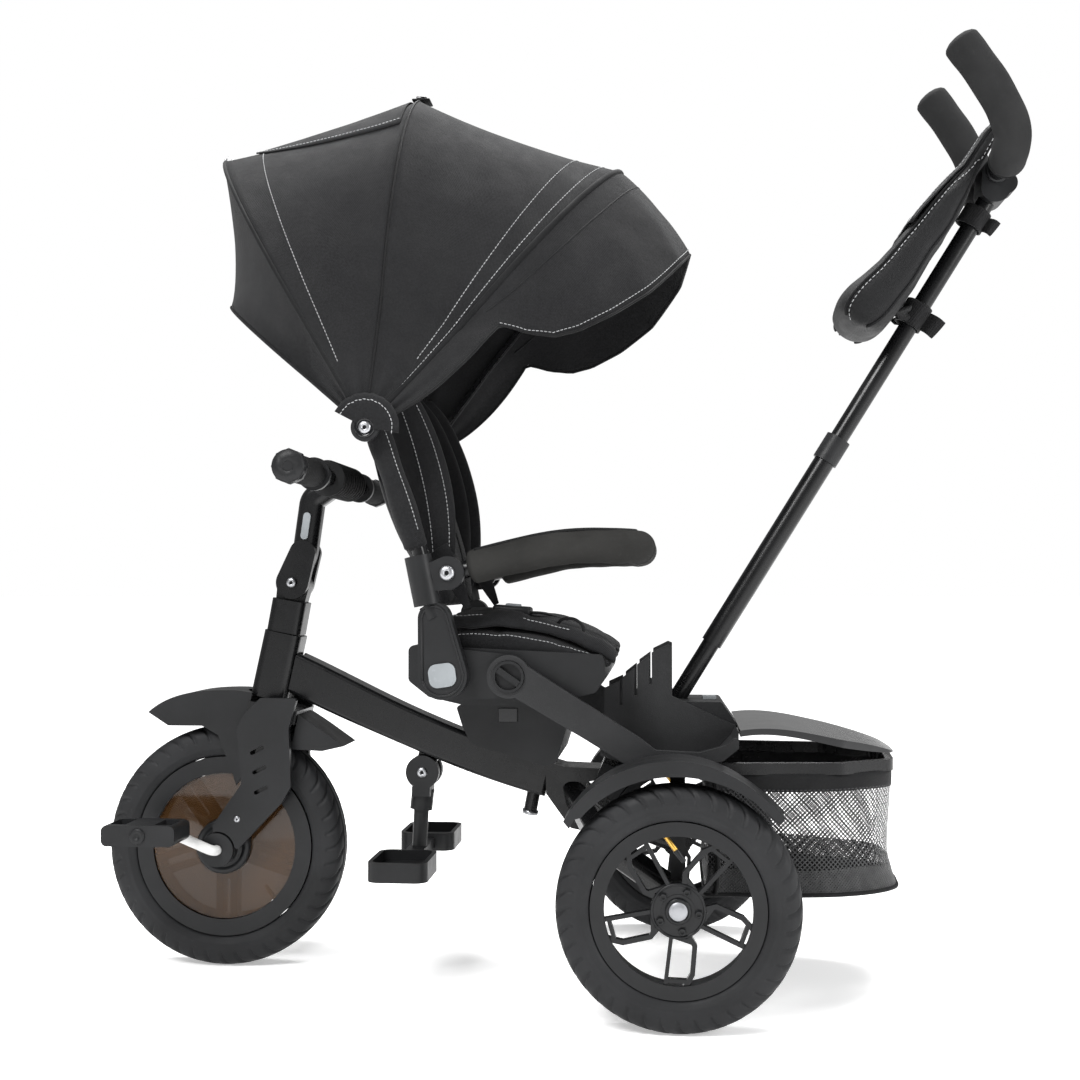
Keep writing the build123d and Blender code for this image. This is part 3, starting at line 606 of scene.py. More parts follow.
# --- tyres and wheel fittings --------------------------------------------------------------
def tread_tyre(node_name, body, pitches):
    """A tyre with slanted shoulder grooves, two running grooves and moulded sidewall rings."""
    low, high = box_mm(node_name)
    centre = (low + high) / 2
    radius = (high.z - low.z) / 2
    shape = [(18.5, -36.5), (22, -35), (24.8, -30), (26, -22), (25.8, -16), (24.2, -9.5), (20.5, -4.2),
             (14, -1.2), (7, -0.2), (0, 0.0)]
    half = smooth_line([(y, 0, r) for y, r in shape], 4)
    outline = [(p.x, p.z) for p in half] + [(-p.x, p.z) for p in reversed(half[:-1])]
    inner = [(-15, -36.5), (-17, -30), (-17, -18), (-8, -9), (8, -9), (17, -18), (17, -30),
             (15, -36.5)]
    around = 16 * pitches
    vertices = []
    for i in range(around):
        a = 2 * pi * i / around
        for y, drop in outline:
            dent = 0.0
            if drop > -19:
                phase = (a * pitches / (2 * pi) + abs(y) * 0.062 + (0.5 if y > 0 else 0)) % 1
                edge = min(1, max(0, (abs(y) - 9) / 3)) * min(1, max(0, (drop + 19) / 4))
                dent += 3.0 * edge * max(0.0, 1 - abs(phase - 0.5) / 0.13) ** 0.5
                dent += 1.6 * max(0.0, 1 - ((abs(y) - 5.5) / 1.7) ** 2) ** 0.5 \
                    if abs(abs(y) - 5.5) < 1.7 else 0.0
            rise = 0.7 if -28.5 < drop < -25.5 else 0.0
            r = radius + drop - dent
            out = y + (rise if y > 0 else -rise) - (dent * 0.35 if y > 0 else -dent * 0.35)
            vertices.append((centre.x + r * cos(a), centre.y + out, centre.z + r * sin(a)))
        for y, drop in inner:
            r = radius + drop
            vertices.append((centre.x + r * cos(a), centre.y + y, centre.z + r * sin(a)))
    columns = len(outline) + len(inner)
    faces = grid_faces(around, columns, wrap_columns=True, wrap_rows=True)
    made = piece(node_name + "_tread", vertices, faces, RUBBER, body)
    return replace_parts(made, node_name)


tread_tyre("front_tyre", "front_wheel", 44)
for side in SIDES:
    tread_tyre("rear_tyre_" + side, "rear_wheel_" + side, 40)

for side, sign in SIDES.items():
    body = "rear_wheel_" + side
    low, high = box_mm("rear_rim_" + side)
    hub = (low + high) / 2
    face = hub.y + sign * 20
    axis = (0, sign, 0)
    bolts = []
    for i in range(5):
        a = radians(-7 + 72 * i)
        at = (hub.x + 21 * cos(a), face, hub.z + 21 * sin(a))
        bolts.append(lathe("bolt", [(5.2, -0.5), (5.2, 0.6), (4.3, 0.8), (4.2, 3.6), (3.6, 4.2),
                                    (2.2, 4.2), (2.1, 2.2), (0.1, 2.1)], at, axis, RIM, None, 6,
                           smooth=False))
    joined("lug_bolts_" + side, bolts, body)
    lathe("hub_collar_" + side, [(13.5, -1), (13.5, 2.0), (12.6, 3.0), (10.6, 3.2), (10.2, 2.2),
                                 (9.8, -1)], (hub.x, face + sign, hub.z), axis, RIM, body, 48)
    lathe("hub_cap_" + side, [(9.9, -1), (9.8, 2.4), (9.0, 3.2), (4, 3.9), (0.1, 4.0)],
          (hub.x, face + sign, hub.z), axis, SATIN, body, 48)
    lathe("hub_ring_" + side, [(28.5, -3), (28.6, 0.4), (27.6, 1.2), (26.2, 1.2), (25.6, 0.2),
                               (25.5, -3)], (hub.x, face, hub.z), axis, RIM, body, 64)
    root = Vector((hub.x - 15, face - sign * 6, hub.z + 78))
    tip = Vector((hub.x + 6, face - sign * 4, hub.z + 50))
    stem = [root.lerp(tip, i / 8) for i in range(9)]
    sweep("valve_" + side, stem[:6], 2.7, BRASS, body, 14)
    sweep("valve_cap_" + side, stem[5:], lambda t: 3.6 - 0.8 * t, RIM, body, 12)

low, high = box_mm("front_rim")
hub = (low + high) / 2
for side, sign in SIDES.items():
    lathe("hub_boss_" + side, [(32.5, -1), (32.5, 1.6), (31, 2.6), (26, 2.8), (25, 1.8), (23, 1.8),
                               (22, 3.2), (14, 3.6), (12, 2.4), (9.5, 2.4), (9.2, -1)],
          (hub.x, hub.y + sign * 25, hub.z), (0, sign, 0), RIM, "front_wheel", 56)
for side, sign in SIDES.items():
    low, high = box_mm("pedal_" + side)
    lathe("pedal_end_" + side, [(9, -2), (9, 1.0), (8, 2.2), (3.4, 2.4), (3, 1.2), (0.1, 1.2)],
          ((low.x + high.x) / 2, high.y if sign > 0 else low.y, (low.z + high.z) / 2),
          (0, sign, 0), PLASTIC, "pedal_" + side, 24)
stem = [Vector((hub.x + 60 - 2 * i, 8, hub.z - 74 + 2.6 * i)) for i in range(9)]
sweep("valve_front", stem, 2.7, BRASS, "front_wheel", 14)


# --- screws ---------------------------------------------------------------------------------
guard_pivot = joint_at["guard_bar_lift"]
canopy_pivot = joint_at["canopy_mid_fold"]
peg_pivot = joint_at["foot_pegs_fold"]
fold_pivot = joint_at["handlebar_fold"]
for side, sign in SIDES.items():
    axis = (0, sign, 0)
    fitting_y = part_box("back_fittings")[1].y * 1000
    screw("guard_screw_" + side, (guard_pivot.x, sign * 174.3, guard_pivot.z), axis, 8.5, "backrest")
    screw("canopy_screw_" + side, (canopy_pivot.x, sign * fitting_y, canopy_pivot.z), axis, 7.5,
          "backrest")
    lathe("canopy_washer_" + side, [(11.5, -0.5), (11.4, 0.9), (10.4, 1.5), (8, 1.5), (7.8, -0.5)],
          (canopy_pivot.x, sign * fitting_y, canopy_pivot.z), axis, GLOSS, "backrest", 40)
    screw("fork_screw_" + side, (hub.x + 24.5, sign * 49.9, hub.z + 37), axis, 3.9, "fork")
    screw("peg_screw_" + side, (peg_pivot.x, sign * 17.8, peg_pivot.z), axis, 6.5, "foot_pegs")
    screw("fold_screw_" + side, (fold_pivot.x, sign * 20, fold_pivot.z), axis, 6.2, "handlebar")
tilt = joint_at["handle_tilt"]
lathe("tilt_disc", [(13.2, -1), (13.2, 2.4), (12, 3.6), (8, 3.8), (7, 2.6), (0.1, 2.6)],
      (tilt.x, -22, tilt.z), (0, -1, 0), PLASTIC, "pole", 40)
screw("tilt_screw", (tilt.x, -24.6, tilt.z), (0, -1, 0), 4.6, "pole")
clamp_bolt = (-29, 0, 187)
lathe("bolt_ring", [(9.6, -4), (9.6, 0), (8.6, 1.4), (6, 1.4), (5.8, -4)], clamp_bolt,
      (-0.19, 0, -0.98), ZINC, "frame", 32)

recline = joint_at["backrest_recline"]
plate_top = Vector((recline.x - 9.5, 0, recline.z + 62))
lean = atan2(plate_top.z - recline.z, plate_top.x - recline.x)
for side, sign in SIDES.items():
    ridge = []
    for centre, r, start, end in ((recline, 22.6, pi / 2 + 0.1, 3 * pi / 2 - 0.1),
                                  (plate_top, 13.8, -pi / 2, pi / 2)):
        for i in range(17):
            a = lean + start + (end - start) * i / 16
            ridge.append(Vector((centre.x + r * cos(a), sign * 172.3, centre.z + r * sin(a))))
    sweep("recline_ridge_" + side, ridge + ridge[:1], 1.5, PLASTIC, "backrest", 10, round_end=False)


# --- handlebar ------------------------------------------------------------------------------
bar_low, bar_high = box_mm("handlebar")
bar_at = (bar_low + bar_high) / 2
ribs = []
for i in range(-9, 10):
    wave = 20.7 + (0.9 if i % 2 else 0.0)
    ribs += [(wave - 0.9, i * 6.2 - 2.9), (wave, i * 6.2 - 2.0), (wave, i * 6.2 + 2.0),
             (wave - 0.9, i * 6.2 + 2.9)]
profile = [(12, -60)] + ribs + [(12, 60)]
lathe("bar_guard", profile, (bar_at.x, 0, bar_at.z), (0, 1, 0), FOAM, "handlebar", 48)
for side, sign in SIDES.items():
    low, high = box_mm("grip_" + side)
    outer = high.y if sign > 0 else -low.y
    lathe("bar_end_" + side, [(14, -16), (18.9, -14.5), (19.4, -12), (19.4, -3.5), (17.6, -0.6),
                              (7, 0.3), (6, -0.6), (5.6, -5), (0.1, -5)],
          (bar_at.x, sign * (outer + 0.8), bar_at.z), (0, sign, 0), PLASTIC, "handlebar", 8)
    rings = []
    for i in range(13):
        y = 131 + 6.6 * i
        rings += [(15.0, y), (15.9, y + 1.2), (15.9, y + 3.4), (15.0, y + 4.6)]
    lathe("grip_ribs_" + side, [(13, 129)] + rings + [(13, 214)], (bar_at.x, 0, bar_at.z),
          (0, sign, 0), FOAM, "handlebar", 40)


# --- foam on the guard bar and the push handle -----------------------------------------------
low, high = box_mm("guard_foam")
front_x = high.x - 19
guard_route = [(-76, 150, 481.5), (-40, 150, 490.5), (-4, 150, 498.5), (24, 150, 502.5),
               (50, 149, 504), (76, 141, 504), (93, 123, 504), (102.5, 98, 504),
               (front_x, 60, 504), (front_x, 0, 504)]
guard_line = smooth_line(guard_route + [(x, -y, z) for x, y, z in reversed(guard_route[:-1])], 8)
foam = sweep("guard_sleeve", guard_line, lambda t: 19.2 + 0.35 * sin(37 * t) + 0.25 * sin(91 * t),
             GUARD_FOAM, "guard_bar", 32)
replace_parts(foam, "guard_foam")
seam = [p + Vector((0, 0, 19.6)) * 0.92 + Vector((0, p.y, 0)).normalized() * 7.2 for p in guard_line
        if abs(p.y) > 100]
for side, sign in SIDES.items():
    edge = [p for p in seam if p.y * sign > 0]
    sweep("guard_seam_" + side, edge, 2.1, PIPING, "guard_bar", 10, round_end=False)

low, high = box_mm("handle_grips")
for side, sign in SIDES.items():
    y = sign * (high.y - 20.5)
    route = [(469, y, 1071), (484, y, 1050), (502, y, 1022), (517, y, 992), (524, y, 967),
             (522.5, y - sign * 6, 950), (522.8, y - sign * 17, 944.8), (523, sign * 66, 944.8)]
    grip = sweep("push_grip_" + side, smooth_line(route, 6),
                 lambda t: 20.6 + 0.3 * sin(29 * t), FOAM, "handle", 32)
    if sign > 0:
        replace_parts(grip, "handle_grips")


# --- canopy -----------------------------------------------------------------------------------
def hoop_at(hoop, t):
    """The (y, r) of a half arch, from its foot at 0 to its crown at 1."""
    _, half_width, top, side_r = hoop
    if t < 0.3:
        part = t / 0.3
        return 189 + (half_width - 189) * part ** 0.8, 26 + (side_r - 26) * part
    s = (t - 0.3) / 0.7 * pi / 2
    return half_width * cos(s) ** 1.06, side_r + (top - side_r) * sin(s)


def on_bow(angle, y, r):
    a = radians(angle)
    return Vector((canopy_pivot.x + r * cos(a), y, canopy_pivot.z + r * sin(a)))


CURTAIN, REAR, MIDDLE, FRONT = (140, 168, 262, 90), (121, 176, 408, 150), (86, 154, 420, 150), \
    (50, 142, 426, 150)
BRIM = [(0.0, 189, 26, 24), (0.1, 186, 63, 27), (0.2, 178, 115, 33), (0.27, 162, 165, 38),
        (0.315, 149, 186, 39.5), (0.36, 143, 206, 32), (0.41, 139, 229, 27.5),
        (0.47, 137, 256, 26), (0.56, 131, 298, 26), (0.69, 112, 347, 27.2), (0.84, 66, 399, 30.2),
        (1.0, 0, 422, 32.4)]


def half_t(t):
    """Folds the whole arch's 0..1 to foot-to-crown 0..1, and gives its side."""
    return (2 * t, 1) if t <= 0.5 else (2 - 2 * t, -1)


def arch_point(hoop, t):
    part, side = half_t(t)
    y, r = hoop_at(hoop, part)
    return on_bow(hoop[0], side * y, r)


def brim_point(t):
    part, side = half_t(t)
    y, r, angle = value_at(BRIM, part)
    return on_bow(angle, side * y, r)


def ripple(place, t, f):
    """Soft unevenness of stretched cloth, with gathers that run up from its feet."""
    part, side = half_t(t)
    soft = noise.noise(place * 0.011) * 2.2 + noise.noise(place * 0.03 + Vector((7, 3, 1))) * 0.7
    gather = sin(f * 9.5 + 2 * side) * 2.6 * exp(-part * 5.5)
    return soft + gather


def panel_point(first, second, f, t, sag):
    """A point of the cloth between two edges, f from 0 to 1, drawn in towards the pivot."""
    place = first.lerp(second, f)
    part, _ = half_t(t)
    inward = Vector((canopy_pivot.x - place.x, -place.y * 0.6, canopy_pivot.z - place.z)).normalized()
    tight = sin(pi * f) ** 0.8
    depth = sag * tight * min(1.0, part * 2.2) - ripple(place, t, f) * tight
    return place + inward * depth


COLUMNS = 120
SPANS = {
    "curtain": (lambda t: arch_point(CURTAIN, t), lambda t: arch_point(REAR, t), 14.0),
    "rear": (lambda t: arch_point(REAR, t), lambda t: arch_point(MIDDLE, t), 7.5),
    "front": (lambda t: arch_point(MIDDLE, t), lambda t: arch_point(FRONT, t), 6.5),
    "brim": (lambda t: arch_point(FRONT, t), brim_point, -7.0),
}


def cloth_point(span, f, t, lift=0.0):
    first, second, sag = SPANS[span]
    place = panel_point(first(t), second(t), f, t, sag)
    if lift:
        out = (place - Vector((canopy_pivot.x, place.y * 0.35, canopy_pivot.z))).normalized()
        place = place + out * lift
    return place


def canopy_sheet(name, spans, replaced):
    """One continuous curved sheet over several spans of the canopy."""
    rows = []
    for index, (span, count) in enumerate(spans):
        steps = range(count + 1) if index == 0 else range(1, count + 1)
        rows += [[cloth_point(span, i / count, j / COLUMNS) for j in range(COLUMNS + 1)]
                 for i in steps]
    uvs, down = [], [0.0] * (COLUMNS + 1)
    for i, row in enumerate(rows):
        across = 0.0
        for j, place in enumerate(row):
            if i:
                down[j] += (place - rows[i - 1][j]).length / 1000
            if j:
                across += (place - row[j - 1]).length / 1000
            uvs.append((across, down[j]))
    made = cloth_patch(name, rows, CANVAS, 1.3, uvs)
    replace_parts(made, *replaced)
    return made


rear_cloth = canopy_sheet("canopy_rear_cloth", [("curtain", 14), ("rear", 20)],
                          ["canopy_rear_panel", "canopy_curtain"])
front_cloth = canopy_sheet("canopy_front_cloth", [("front", 20), ("brim", 16)],
                           ["canopy_front_panel", "canopy_visor"])


def cloth_line(span, f, t_low, t_high, count=90):
    """A line across a span of cloth at the part f of the way over it, just proud of it."""
    return [cloth_point(span, f, t_low + (t_high - t_low) * i / count, 1.2) for i in range(count + 1)]


rear_seams = [cloth_line("rear", 0.2, 0.07, 0.93)]
front_seams = [cloth_line("front", 0.80, 0.085, 0.915), cloth_line("front", 0.925, 0.03, 0.97),
               cloth_line("brim", 0.95, 0.158, 0.842, 130)]
rear_stitch = stitches("canopy_rear_stitch", rear_seams)
front_stitch = stitches("canopy_front_stitch", front_seams)


def rib_line(span, f, lift):
    return [cloth_point(span, f, j / 110, lift) for j in range(111)]


mid_seam = sweep("canopy_mid_seam", rib_line("front", 0.0, 0.6), 1.3, PIPING, "canopy_mid", 8)
rear_rib = sweep("canopy_rear_rib", rib_line("rear", 0.0, -0.8), 2.4, CANVAS, "backrest", 10)
front_rib = sweep("canopy_front_rib", rib_line("brim", 0.0, -1.2), 4.2, CANVAS, "canopy_front", 12)
second_rib = sweep("canopy_second_rib", [cloth_point("brim", 0.22, j / 110, -0.4)
                                         for j in range(19, 92)], 1.5, PIPING, "canopy_front", 10)
brim_hem = sweep("canopy_brim_hem", [brim_point(j / 130) for j in range(131)], 1.7, PIPING,
                 "canopy_front", 8)
curtain_hem = sweep("canopy_curtain_hem", [arch_point(CURTAIN, j / 110) for j in range(111)], 2.2,
                    PIPING, "backrest", 8)

flap_rows = []
for i in range(15):
    f = 0.16 + 0.80 * i / 14
    half = 0.060 + 0.075 * (i / 14) ** 0.55
    flap_rows.append([cloth_point("rear", f, 0.5 + half * (2 * j / 24 - 1),
                                  2.2 + 4.5 * sin(pi * j / 24) * sin(pi * (i + 2) / 18))
                      for j in range(25)])
flap_uv = [(j * 0.008, i * 0.013) for i in range(15) for j in range(25)]
flap = cloth_patch("canopy_flap", flap_rows, CANVAS, 1.2, flap_uv)
edge_line = [row[1] + Vector((0, 0, 1.3)) for row in reversed(flap_rows)] \
    + [p + Vector((0, 0, 1.3)) for p in flap_rows[0][2:-2]] \
    + [row[-2] + Vector((0, 0, 1.3)) for row in flap_rows]
flap_stitch = stitches("canopy_flap_stitch", [edge_line])

for made in (rear_cloth, rear_stitch, flap, flap_stitch):
    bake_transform(made)
for made in (front_cloth, front_stitch):
    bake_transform(made)

crown = arch_point(MIDDLE, 0.5)
plate("apex_tab", (22, 26, 2.4), crown + Vector((0, 0, 3)), 1.0, PIPING, "canopy_mid", (0, 0, 0))
plate("apex_buckle", (13, 17, 5), crown + Vector((0, 0, 6)), 1.6, GLOSS, "canopy_mid", (0, 6, 0))
tail = arch_point(REAR, 0.5)
ring_line = [tail + Vector((-4 + 5.5 * cos(2 * pi * i / 24), 0, 4 + 6.5 * sin(2 * pi * i / 24)))
             for i in range(25)]
sweep("corner_ring", ring_line, 1.3, STEEL, "backrest", 10, round_end=False)
for side, sign in SIDES.items():
    cuff_rows = []
    for i in range(9):
        r = 9 + 3.6 * i
        row = []
        for k in range(31):
            a = radians(-10 + 5.4 * k)
            out = 194.4 - 0.009 * (r - 18) ** 2 + 0.9 * sin(k * 1.3) * i / 8
            row.append(Vector((canopy_pivot.x + r * cos(a), sign * out,
                               canopy_pivot.z + (r + 0.5 * sin(k * 2.1)) * sin(a))))
        cuff_rows.append(row)
    cuff_uv = [(0.003 * k, 0.004 * i) for i in range(9) for k in range(31)]
    cuff = cloth_patch("pivot_cuff_" + side, cuff_rows, CANVAS, 1.6, cuff_uv)
    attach(cuff, "backrest")
    cuff_seam = [p + Vector((0, sign * 1.1, 0)) for p in cuff_rows[6]]
    cuff_thread = stitches("pivot_stitch_" + side, [cuff_seam], body="backrest")


# --- back pad ---------------------------------------------------------------------------------
def lines_gap(values, x):
    return min(abs(x - v) for v in values)


back_rows = [(-118, 437, 3, 84), (-120, 442, 10, 95), (-128, 470, 17, 101), (-142, 520, 18, 103),
             (-165, 590, 18, 103), (-191, 665, 16, 101), (-216, 730, 13, 97), (-236, 782, 9, 88),
             (-241, 793, 2, 78)]
back_pad = section_loft("back_cushion", profile_stations(back_rows), PADDING, 3.6, 56)


def back_seam(co):
    return min(lines_gap((-62, 62), co.y), abs((co.z - 560) + 0.25 * (co.x + 150)),
               abs((co.z - 668) + 0.25 * (co.x + 190)))


puff(back_pad, back_seam, 7)
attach(back_pad, "backrest")
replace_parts(back_pad, "back_pad")

for side, sign in SIDES.items():
    wing_rows = [(-131, 452, 2, 11), (-129, 462, 4, 16), (-126, 500, 6, 22), (-133, 560, 7, 27),
                 (-148, 620, 6.5, 27), (-167, 672, 5, 22), (-179, 700, 2, 11)]
    stations = []
    for x, z, nx, nz, thick, wide in profile_stations(wing_rows, 6):
        stations.append((x, z, thick, wide))
    for layer, shift in (("outer", 0.0), ("inner", -13.0)):
        vertices = []
        around = 28
        for x, z, thick, wide in stations:
            for k in range(around):
                a = 2 * pi * k / around
                out = thick * (1 if sin(a) >= 0 else -1) * abs(sin(a)) ** 0.7
                reach = wide * cos(a)
                bow_in = 0.006 * reach * reach
                vertices.append((x + reach + shift * 0.9, sign * (112 + shift + out - bow_in), z))
        wing = piece(f"back_wing_{layer}_{side}", vertices, capped_faces(len(stations), around),
                     PADDING, "backrest")
        if layer == "outer":
            front = [Vector((x + wide * 0.78, sign * (112 + thick), z))
                     for x, z, thick, wide in stations[4:-4]]
            middle = [Vector((x - wide * 0.1, sign * (112 + thick), z))
                      for x, z, thick, wide in stations[3:-4]]
            stitches("wing_stitch_" + side, [snapped(wing, front, 0.5), snapped(wing, middle, 0.5)],
                     body="backrest")
    strap = smooth_line([(-184, sign * 146, 622), (-179, sign * 147, 600), (-168, sign * 148, 560),
                         (-152, sign * 148, 520), (-136, sign * 148, 492)], 8)
    sweep("back_strap_" + side, strap, 11, GLOSS, "backrest", 16, flat=0.16)
    tail_line = smooth_line([(-122, sign * 128, 500), (-108, sign * 132, 480), (-96, sign * 134, 456),
                             (-86, sign * 133, 436)], 8)
    sweep("back_tail_" + side, tail_line, lambda t: 15 * (1 - 0.75 * t), PADDING, "backrest", 16,
          flat=0.2)
    sleeve_line = smooth_line([(-140, sign * 164, 505), (-160, sign * 164, 566),
                               (-178, sign * 163, 616), (-193, sign * 163, 658)], 8)
    sleeve = sweep("tube_sleeve_" + side, sleeve_line, lambda t: 13.2 + 1.6 * sin(7 * t) ** 2,
                   PADDING, "backrest", 24)
    seam_line = [p + Vector((9, sign * 10, 3)) for p in sleeve_line[2:-2]]
    stitches("sleeve_stitch_" + side, [snapped(sleeve, seam_line)], body="backrest")
    web = smooth_line([(-168, sign * 45, 690), (-128, sign * 44, 610), (-104, sign * 40, 540),
                       (-92, sign * 34, 480), (-78, sign * 24, 442)], 8)
    strap_line = snapped(back_pad, web, 1.4)
    sweep("shoulder_strap_" + side, strap_line, 15, WEBBING, "backrest", 16, flat=0.12,
          flat_axis=Vector((0.92, 0, 0.38)))


# --- seat cushion -----------------------------------------------------------------------------
seat_rows = [(-136, 388, 4, 108), (-131, 390, 12, 122), (-110, 395, 20, 128), (-60, 394, 20, 130),
             (0, 388, 19, 130), (40, 382, 14, 129), (62, 378, 9, 126), (74, 376, 6, 118),
             (77, 375, 2, 108)]
seat = section_loft("seat_pad", profile_stations(seat_rows), PADDING, 3.8, 60)


def seat_seam(co):
    side = min(lines_gap((-66, 66), co.y), lines_gap((-55, 12), co.x))
    return side if co.z > 402 else 99.0


puff(seat, seat_seam, 4)
for vertex in seat.data.vertices:
    vertex.co.z = max(vertex.co.z, 0.3685)
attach(seat, "seat")
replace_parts(seat, "seat_cushion")

edge = [Vector((-124 + 190 * i / 60, -129, 412 - 14 * (i / 60) ** 2)) for i in range(61)]
stitches("seat_side_stitch_right", [snapped(seat, edge, 0.5)], body="seat")
edge = [Vector((p.x, -p.y, p.z)) for p in edge]
stitches("seat_side_stitch_left", [snapped(seat, edge, 0.5)], body="seat")

liner_vertices, liner_uv = [], []
for i in range(45):
    u = i / 44
    x = -112 + 187 * u
    top = value_at([(0.0, 422), (0.3, 423), (0.6, 415), (0.8, 403), (0.92, 393), (1.0, 382)], u)[0]
    for j in range(49):
        v = 2 * j / 48 - 1
        wide = 118 + 5 * sin(u * 8) - 10 * max(0, u - 0.85) * 6
        roll = 7.0 * noise.noise(Vector((u * 3.1, v * 2.3, 0.4))) \
            + 3.0 * noise.noise(Vector((u * 9, v * 7, 2.2)))
        quilt = -2.2 * exp(-((abs(v) - 0.5) * 14) ** 2) - 2.2 * exp(-((u - 0.5) * 18) ** 2)
        drop = 20 * max(0.0, abs(v) - 0.86) ** 2 * 30
        liner_vertices.append((x + 2 * sin(v * 5), v * wide, top + roll * (0.4 + 0.6 * abs(v)) + quilt
                               - drop + 2))
        liner_uv.append((u * 0.2, v * 0.12))
liner = piece("seat_liner", liner_vertices, grid_faces(45, 49), PADDING, uvs=liner_uv, closed=False)
skin = liner.modifiers.new("quilt", "SOLIDIFY")
skin.thickness = 0.0075
skin.offset = -0.6
rounding = liner.modifiers.new("round", "SUBSURF")
rounding.levels = 1
rounding.render_levels = 1
bake_modifiers(liner)
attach(liner, "seat")
edges = [[Vector((-106 + 176 * i / 60, sign * 110, 424 - 38 * (i / 60) ** 3)) for i in range(61)]
         for sign in (1, -1)]
edges.append([Vector((66, -104 + 208 * i / 60, 390)) for i in range(61)])
stitches("liner_stitch", [snapped(liner, line, 0.5) for line in edges], body="seat")
loop = smooth_line([(10, -92, 414), (18, -98, 422), (32, -102, 422), (42, -104, 413),
                    (40, -103, 401)], 8)
sweep("pull_loop", loop, 1.9, WEBBING, "seat", 12, flat=0.6)
belt = smooth_line([(-84, -112, 421), (-72, -80, 428), (-58, -40, 429), (-52, 0, 428), (-58, 40, 429),
                    (-72, 80, 428), (-84, 112, 421)], 8)
sweep("lap_belt", belt, 12.5, WEBBING, "seat", 16, flat=0.13, flat_axis=UP)
plate("belt_buckle", (46, 40, 12), (-50, 0, 430), 4, PLASTIC, "seat", (0, 4, 0))
plate("buckle_press", (18, 18, 4), (-49, 0, 436.5), 1.6, GREY, "seat", (0, 4, 0))
crotch = smooth_line([(-36, 0, 428), (-12, 0, 427), (12, 0, 420), (34, 0, 410)], 8)
sweep("crotch_strap", crotch, 12.5, WEBBING, "seat", 16, flat=0.13, flat_axis=UP)


# --- basket -------------------------------------------------------------------------------------
ring_low, ring_high = box_mm("basket_ring")
net_low, net_high = box_mm("mesh_basket")
PLAN = [(177, -98), (178, -124), (205, -121), (260, -121), (318, -113), (362, -92), (389, -62),
        (395, -22), (395, 22), (389, 62), (362, 92), (318, 113), (260, 121), (205, 121), (178, 124),
        (177, 98), (176.5, 50), (176.5, 0), (176.5, -50)]
plan_line = smooth_line([(x, y, 0) for x, y in PLAN + PLAN[:1]], 8)[:-1]
centre_x = (ring_low.x + ring_high.x) / 2 - 8


def basket_row(z, grow, wave=0.0):
    """One level of the basket: the plan drawn in or out about its middle."""
    row = []
    for i, p in enumerate(plan_line):
        a = atan2(p.y, p.x - centre_x)
        rear = max(0.0, cos(a))
        size = grow + 0.010 * wave * sin(9 * a + z * 0.05)
        flare = 6 * rear * max(0.0, (150 - z) / 40)
        row.append(Vector((centre_x + (p.x - centre_x) * size + flare * (grow > 0.95), p.y * size,
                           z + wave * sin(5 * a) * 1.2)))
    return row


top_z, low_z = net_high.z - 1, net_low.z
levels = [(top_z, 0.985, 0), (240, 0.982, 0.2), (225, 0.968, 0.6), (205, 0.957, 0.9),
          (185, 0.953, 1.0), (165, 0.955, 0.9), (148, 0.962, 0.6), (136, 0.97, 0.4),
          (126, 0.982, 0.2), (low_z + 3, 0.992, 0)]


def shell(name, rows, material, body, thick):
    columns = len(rows[0])
    vertices = [p for row in rows for p in row]
    perimeter = [0.0]
    for a, b in zip(rows[0], rows[0][1:]):
        perimeter.append(perimeter[-1] + (b - a).length / 1000)
    uvs = [(perimeter[j], row[j].z / 1000) for row in rows for j in range(columns)]
    made = piece(name, vertices, grid_faces(len(rows), columns, wrap_columns=True), material,
                 uvs=uvs, closed=False)
    if thick:
        solid_cloth(made, thick)
        bake_modifiers(made)
    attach(made, body)
    return made


def levels_between(high_z, end_z, count, outward=0.0):
    table = [(-z, grow, wave) for z, grow, wave in levels]
    rows = []
    for i in range(count + 1):
        z = high_z + (end_z - high_z) * i / count
        grow, wave = value_at(table, -z)
        rows.append(basket_row(z, grow + outward, wave))
    return rows


side_net = shell("basket_net", levels_between(top_z, low_z + 3, 26), NET, "frame", 0)
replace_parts(side_net, "mesh_basket")
hem = shell("basket_hem", levels_between(top_z + 2.4, top_z - 17, 4, 0.004), PIPING, "frame", 1.0)
band = shell("basket_band", levels_between(low_z + 30, low_z + 3, 5, 0.003), DENSE_NET, "frame", 0)
floor_rows = [[Vector((centre_x + (p.x - centre_x) * s, p.y * s, p.z - 2 * (1 - s) + 1.2 * sin(p.x * 0.04)))
               for p in basket_row(low_z + 3, 0.99)] for s in (1.0, 0.85, 0.65, 0.4, 0.15, 0.01)]
base = shell("basket_floor", floor_rows, BAG_CLOTH, "frame", 1.6)
rim = [basket_row(low_z + 3, 0.995)[i % len(plan_line)] for i in range(len(plan_line) + 1)]
piping = sweep("basket_piping", rim, 2.4, PIPING, "frame", 8, round_end=False)
hem_edge = levels_between(top_z - 15, top_z - 15.5, 1, 0.007)[0]
hem_stitch = stitches("basket_hem_stitch", [hem_edge], DARK_THREAD, "frame", 5)
for i in (12, 100):
    line = [row[i] + Vector((0, 0.8 if row[i].y > 0 else -0.8, 0))
            for row in levels_between(top_z - 4, low_z + 4, 16, 0.002)]
    sweep(f"basket_seam_{i}", line, 2.6, PIPING, "frame", 8)


# --- parents' bag -------------------------------------------------------------------------------
pole_dir = Vector((0.528, 0, 0.849)).normalized()
pole_out = Vector((-pole_dir.z, 0, pole_dir.x))
pole_foot = Vector((148.5, 0, 327))


def on_pole(d, n=0.0, y=0.0):
    return pole_foot + pole_dir * d + pole_out * n + ACROSS * y


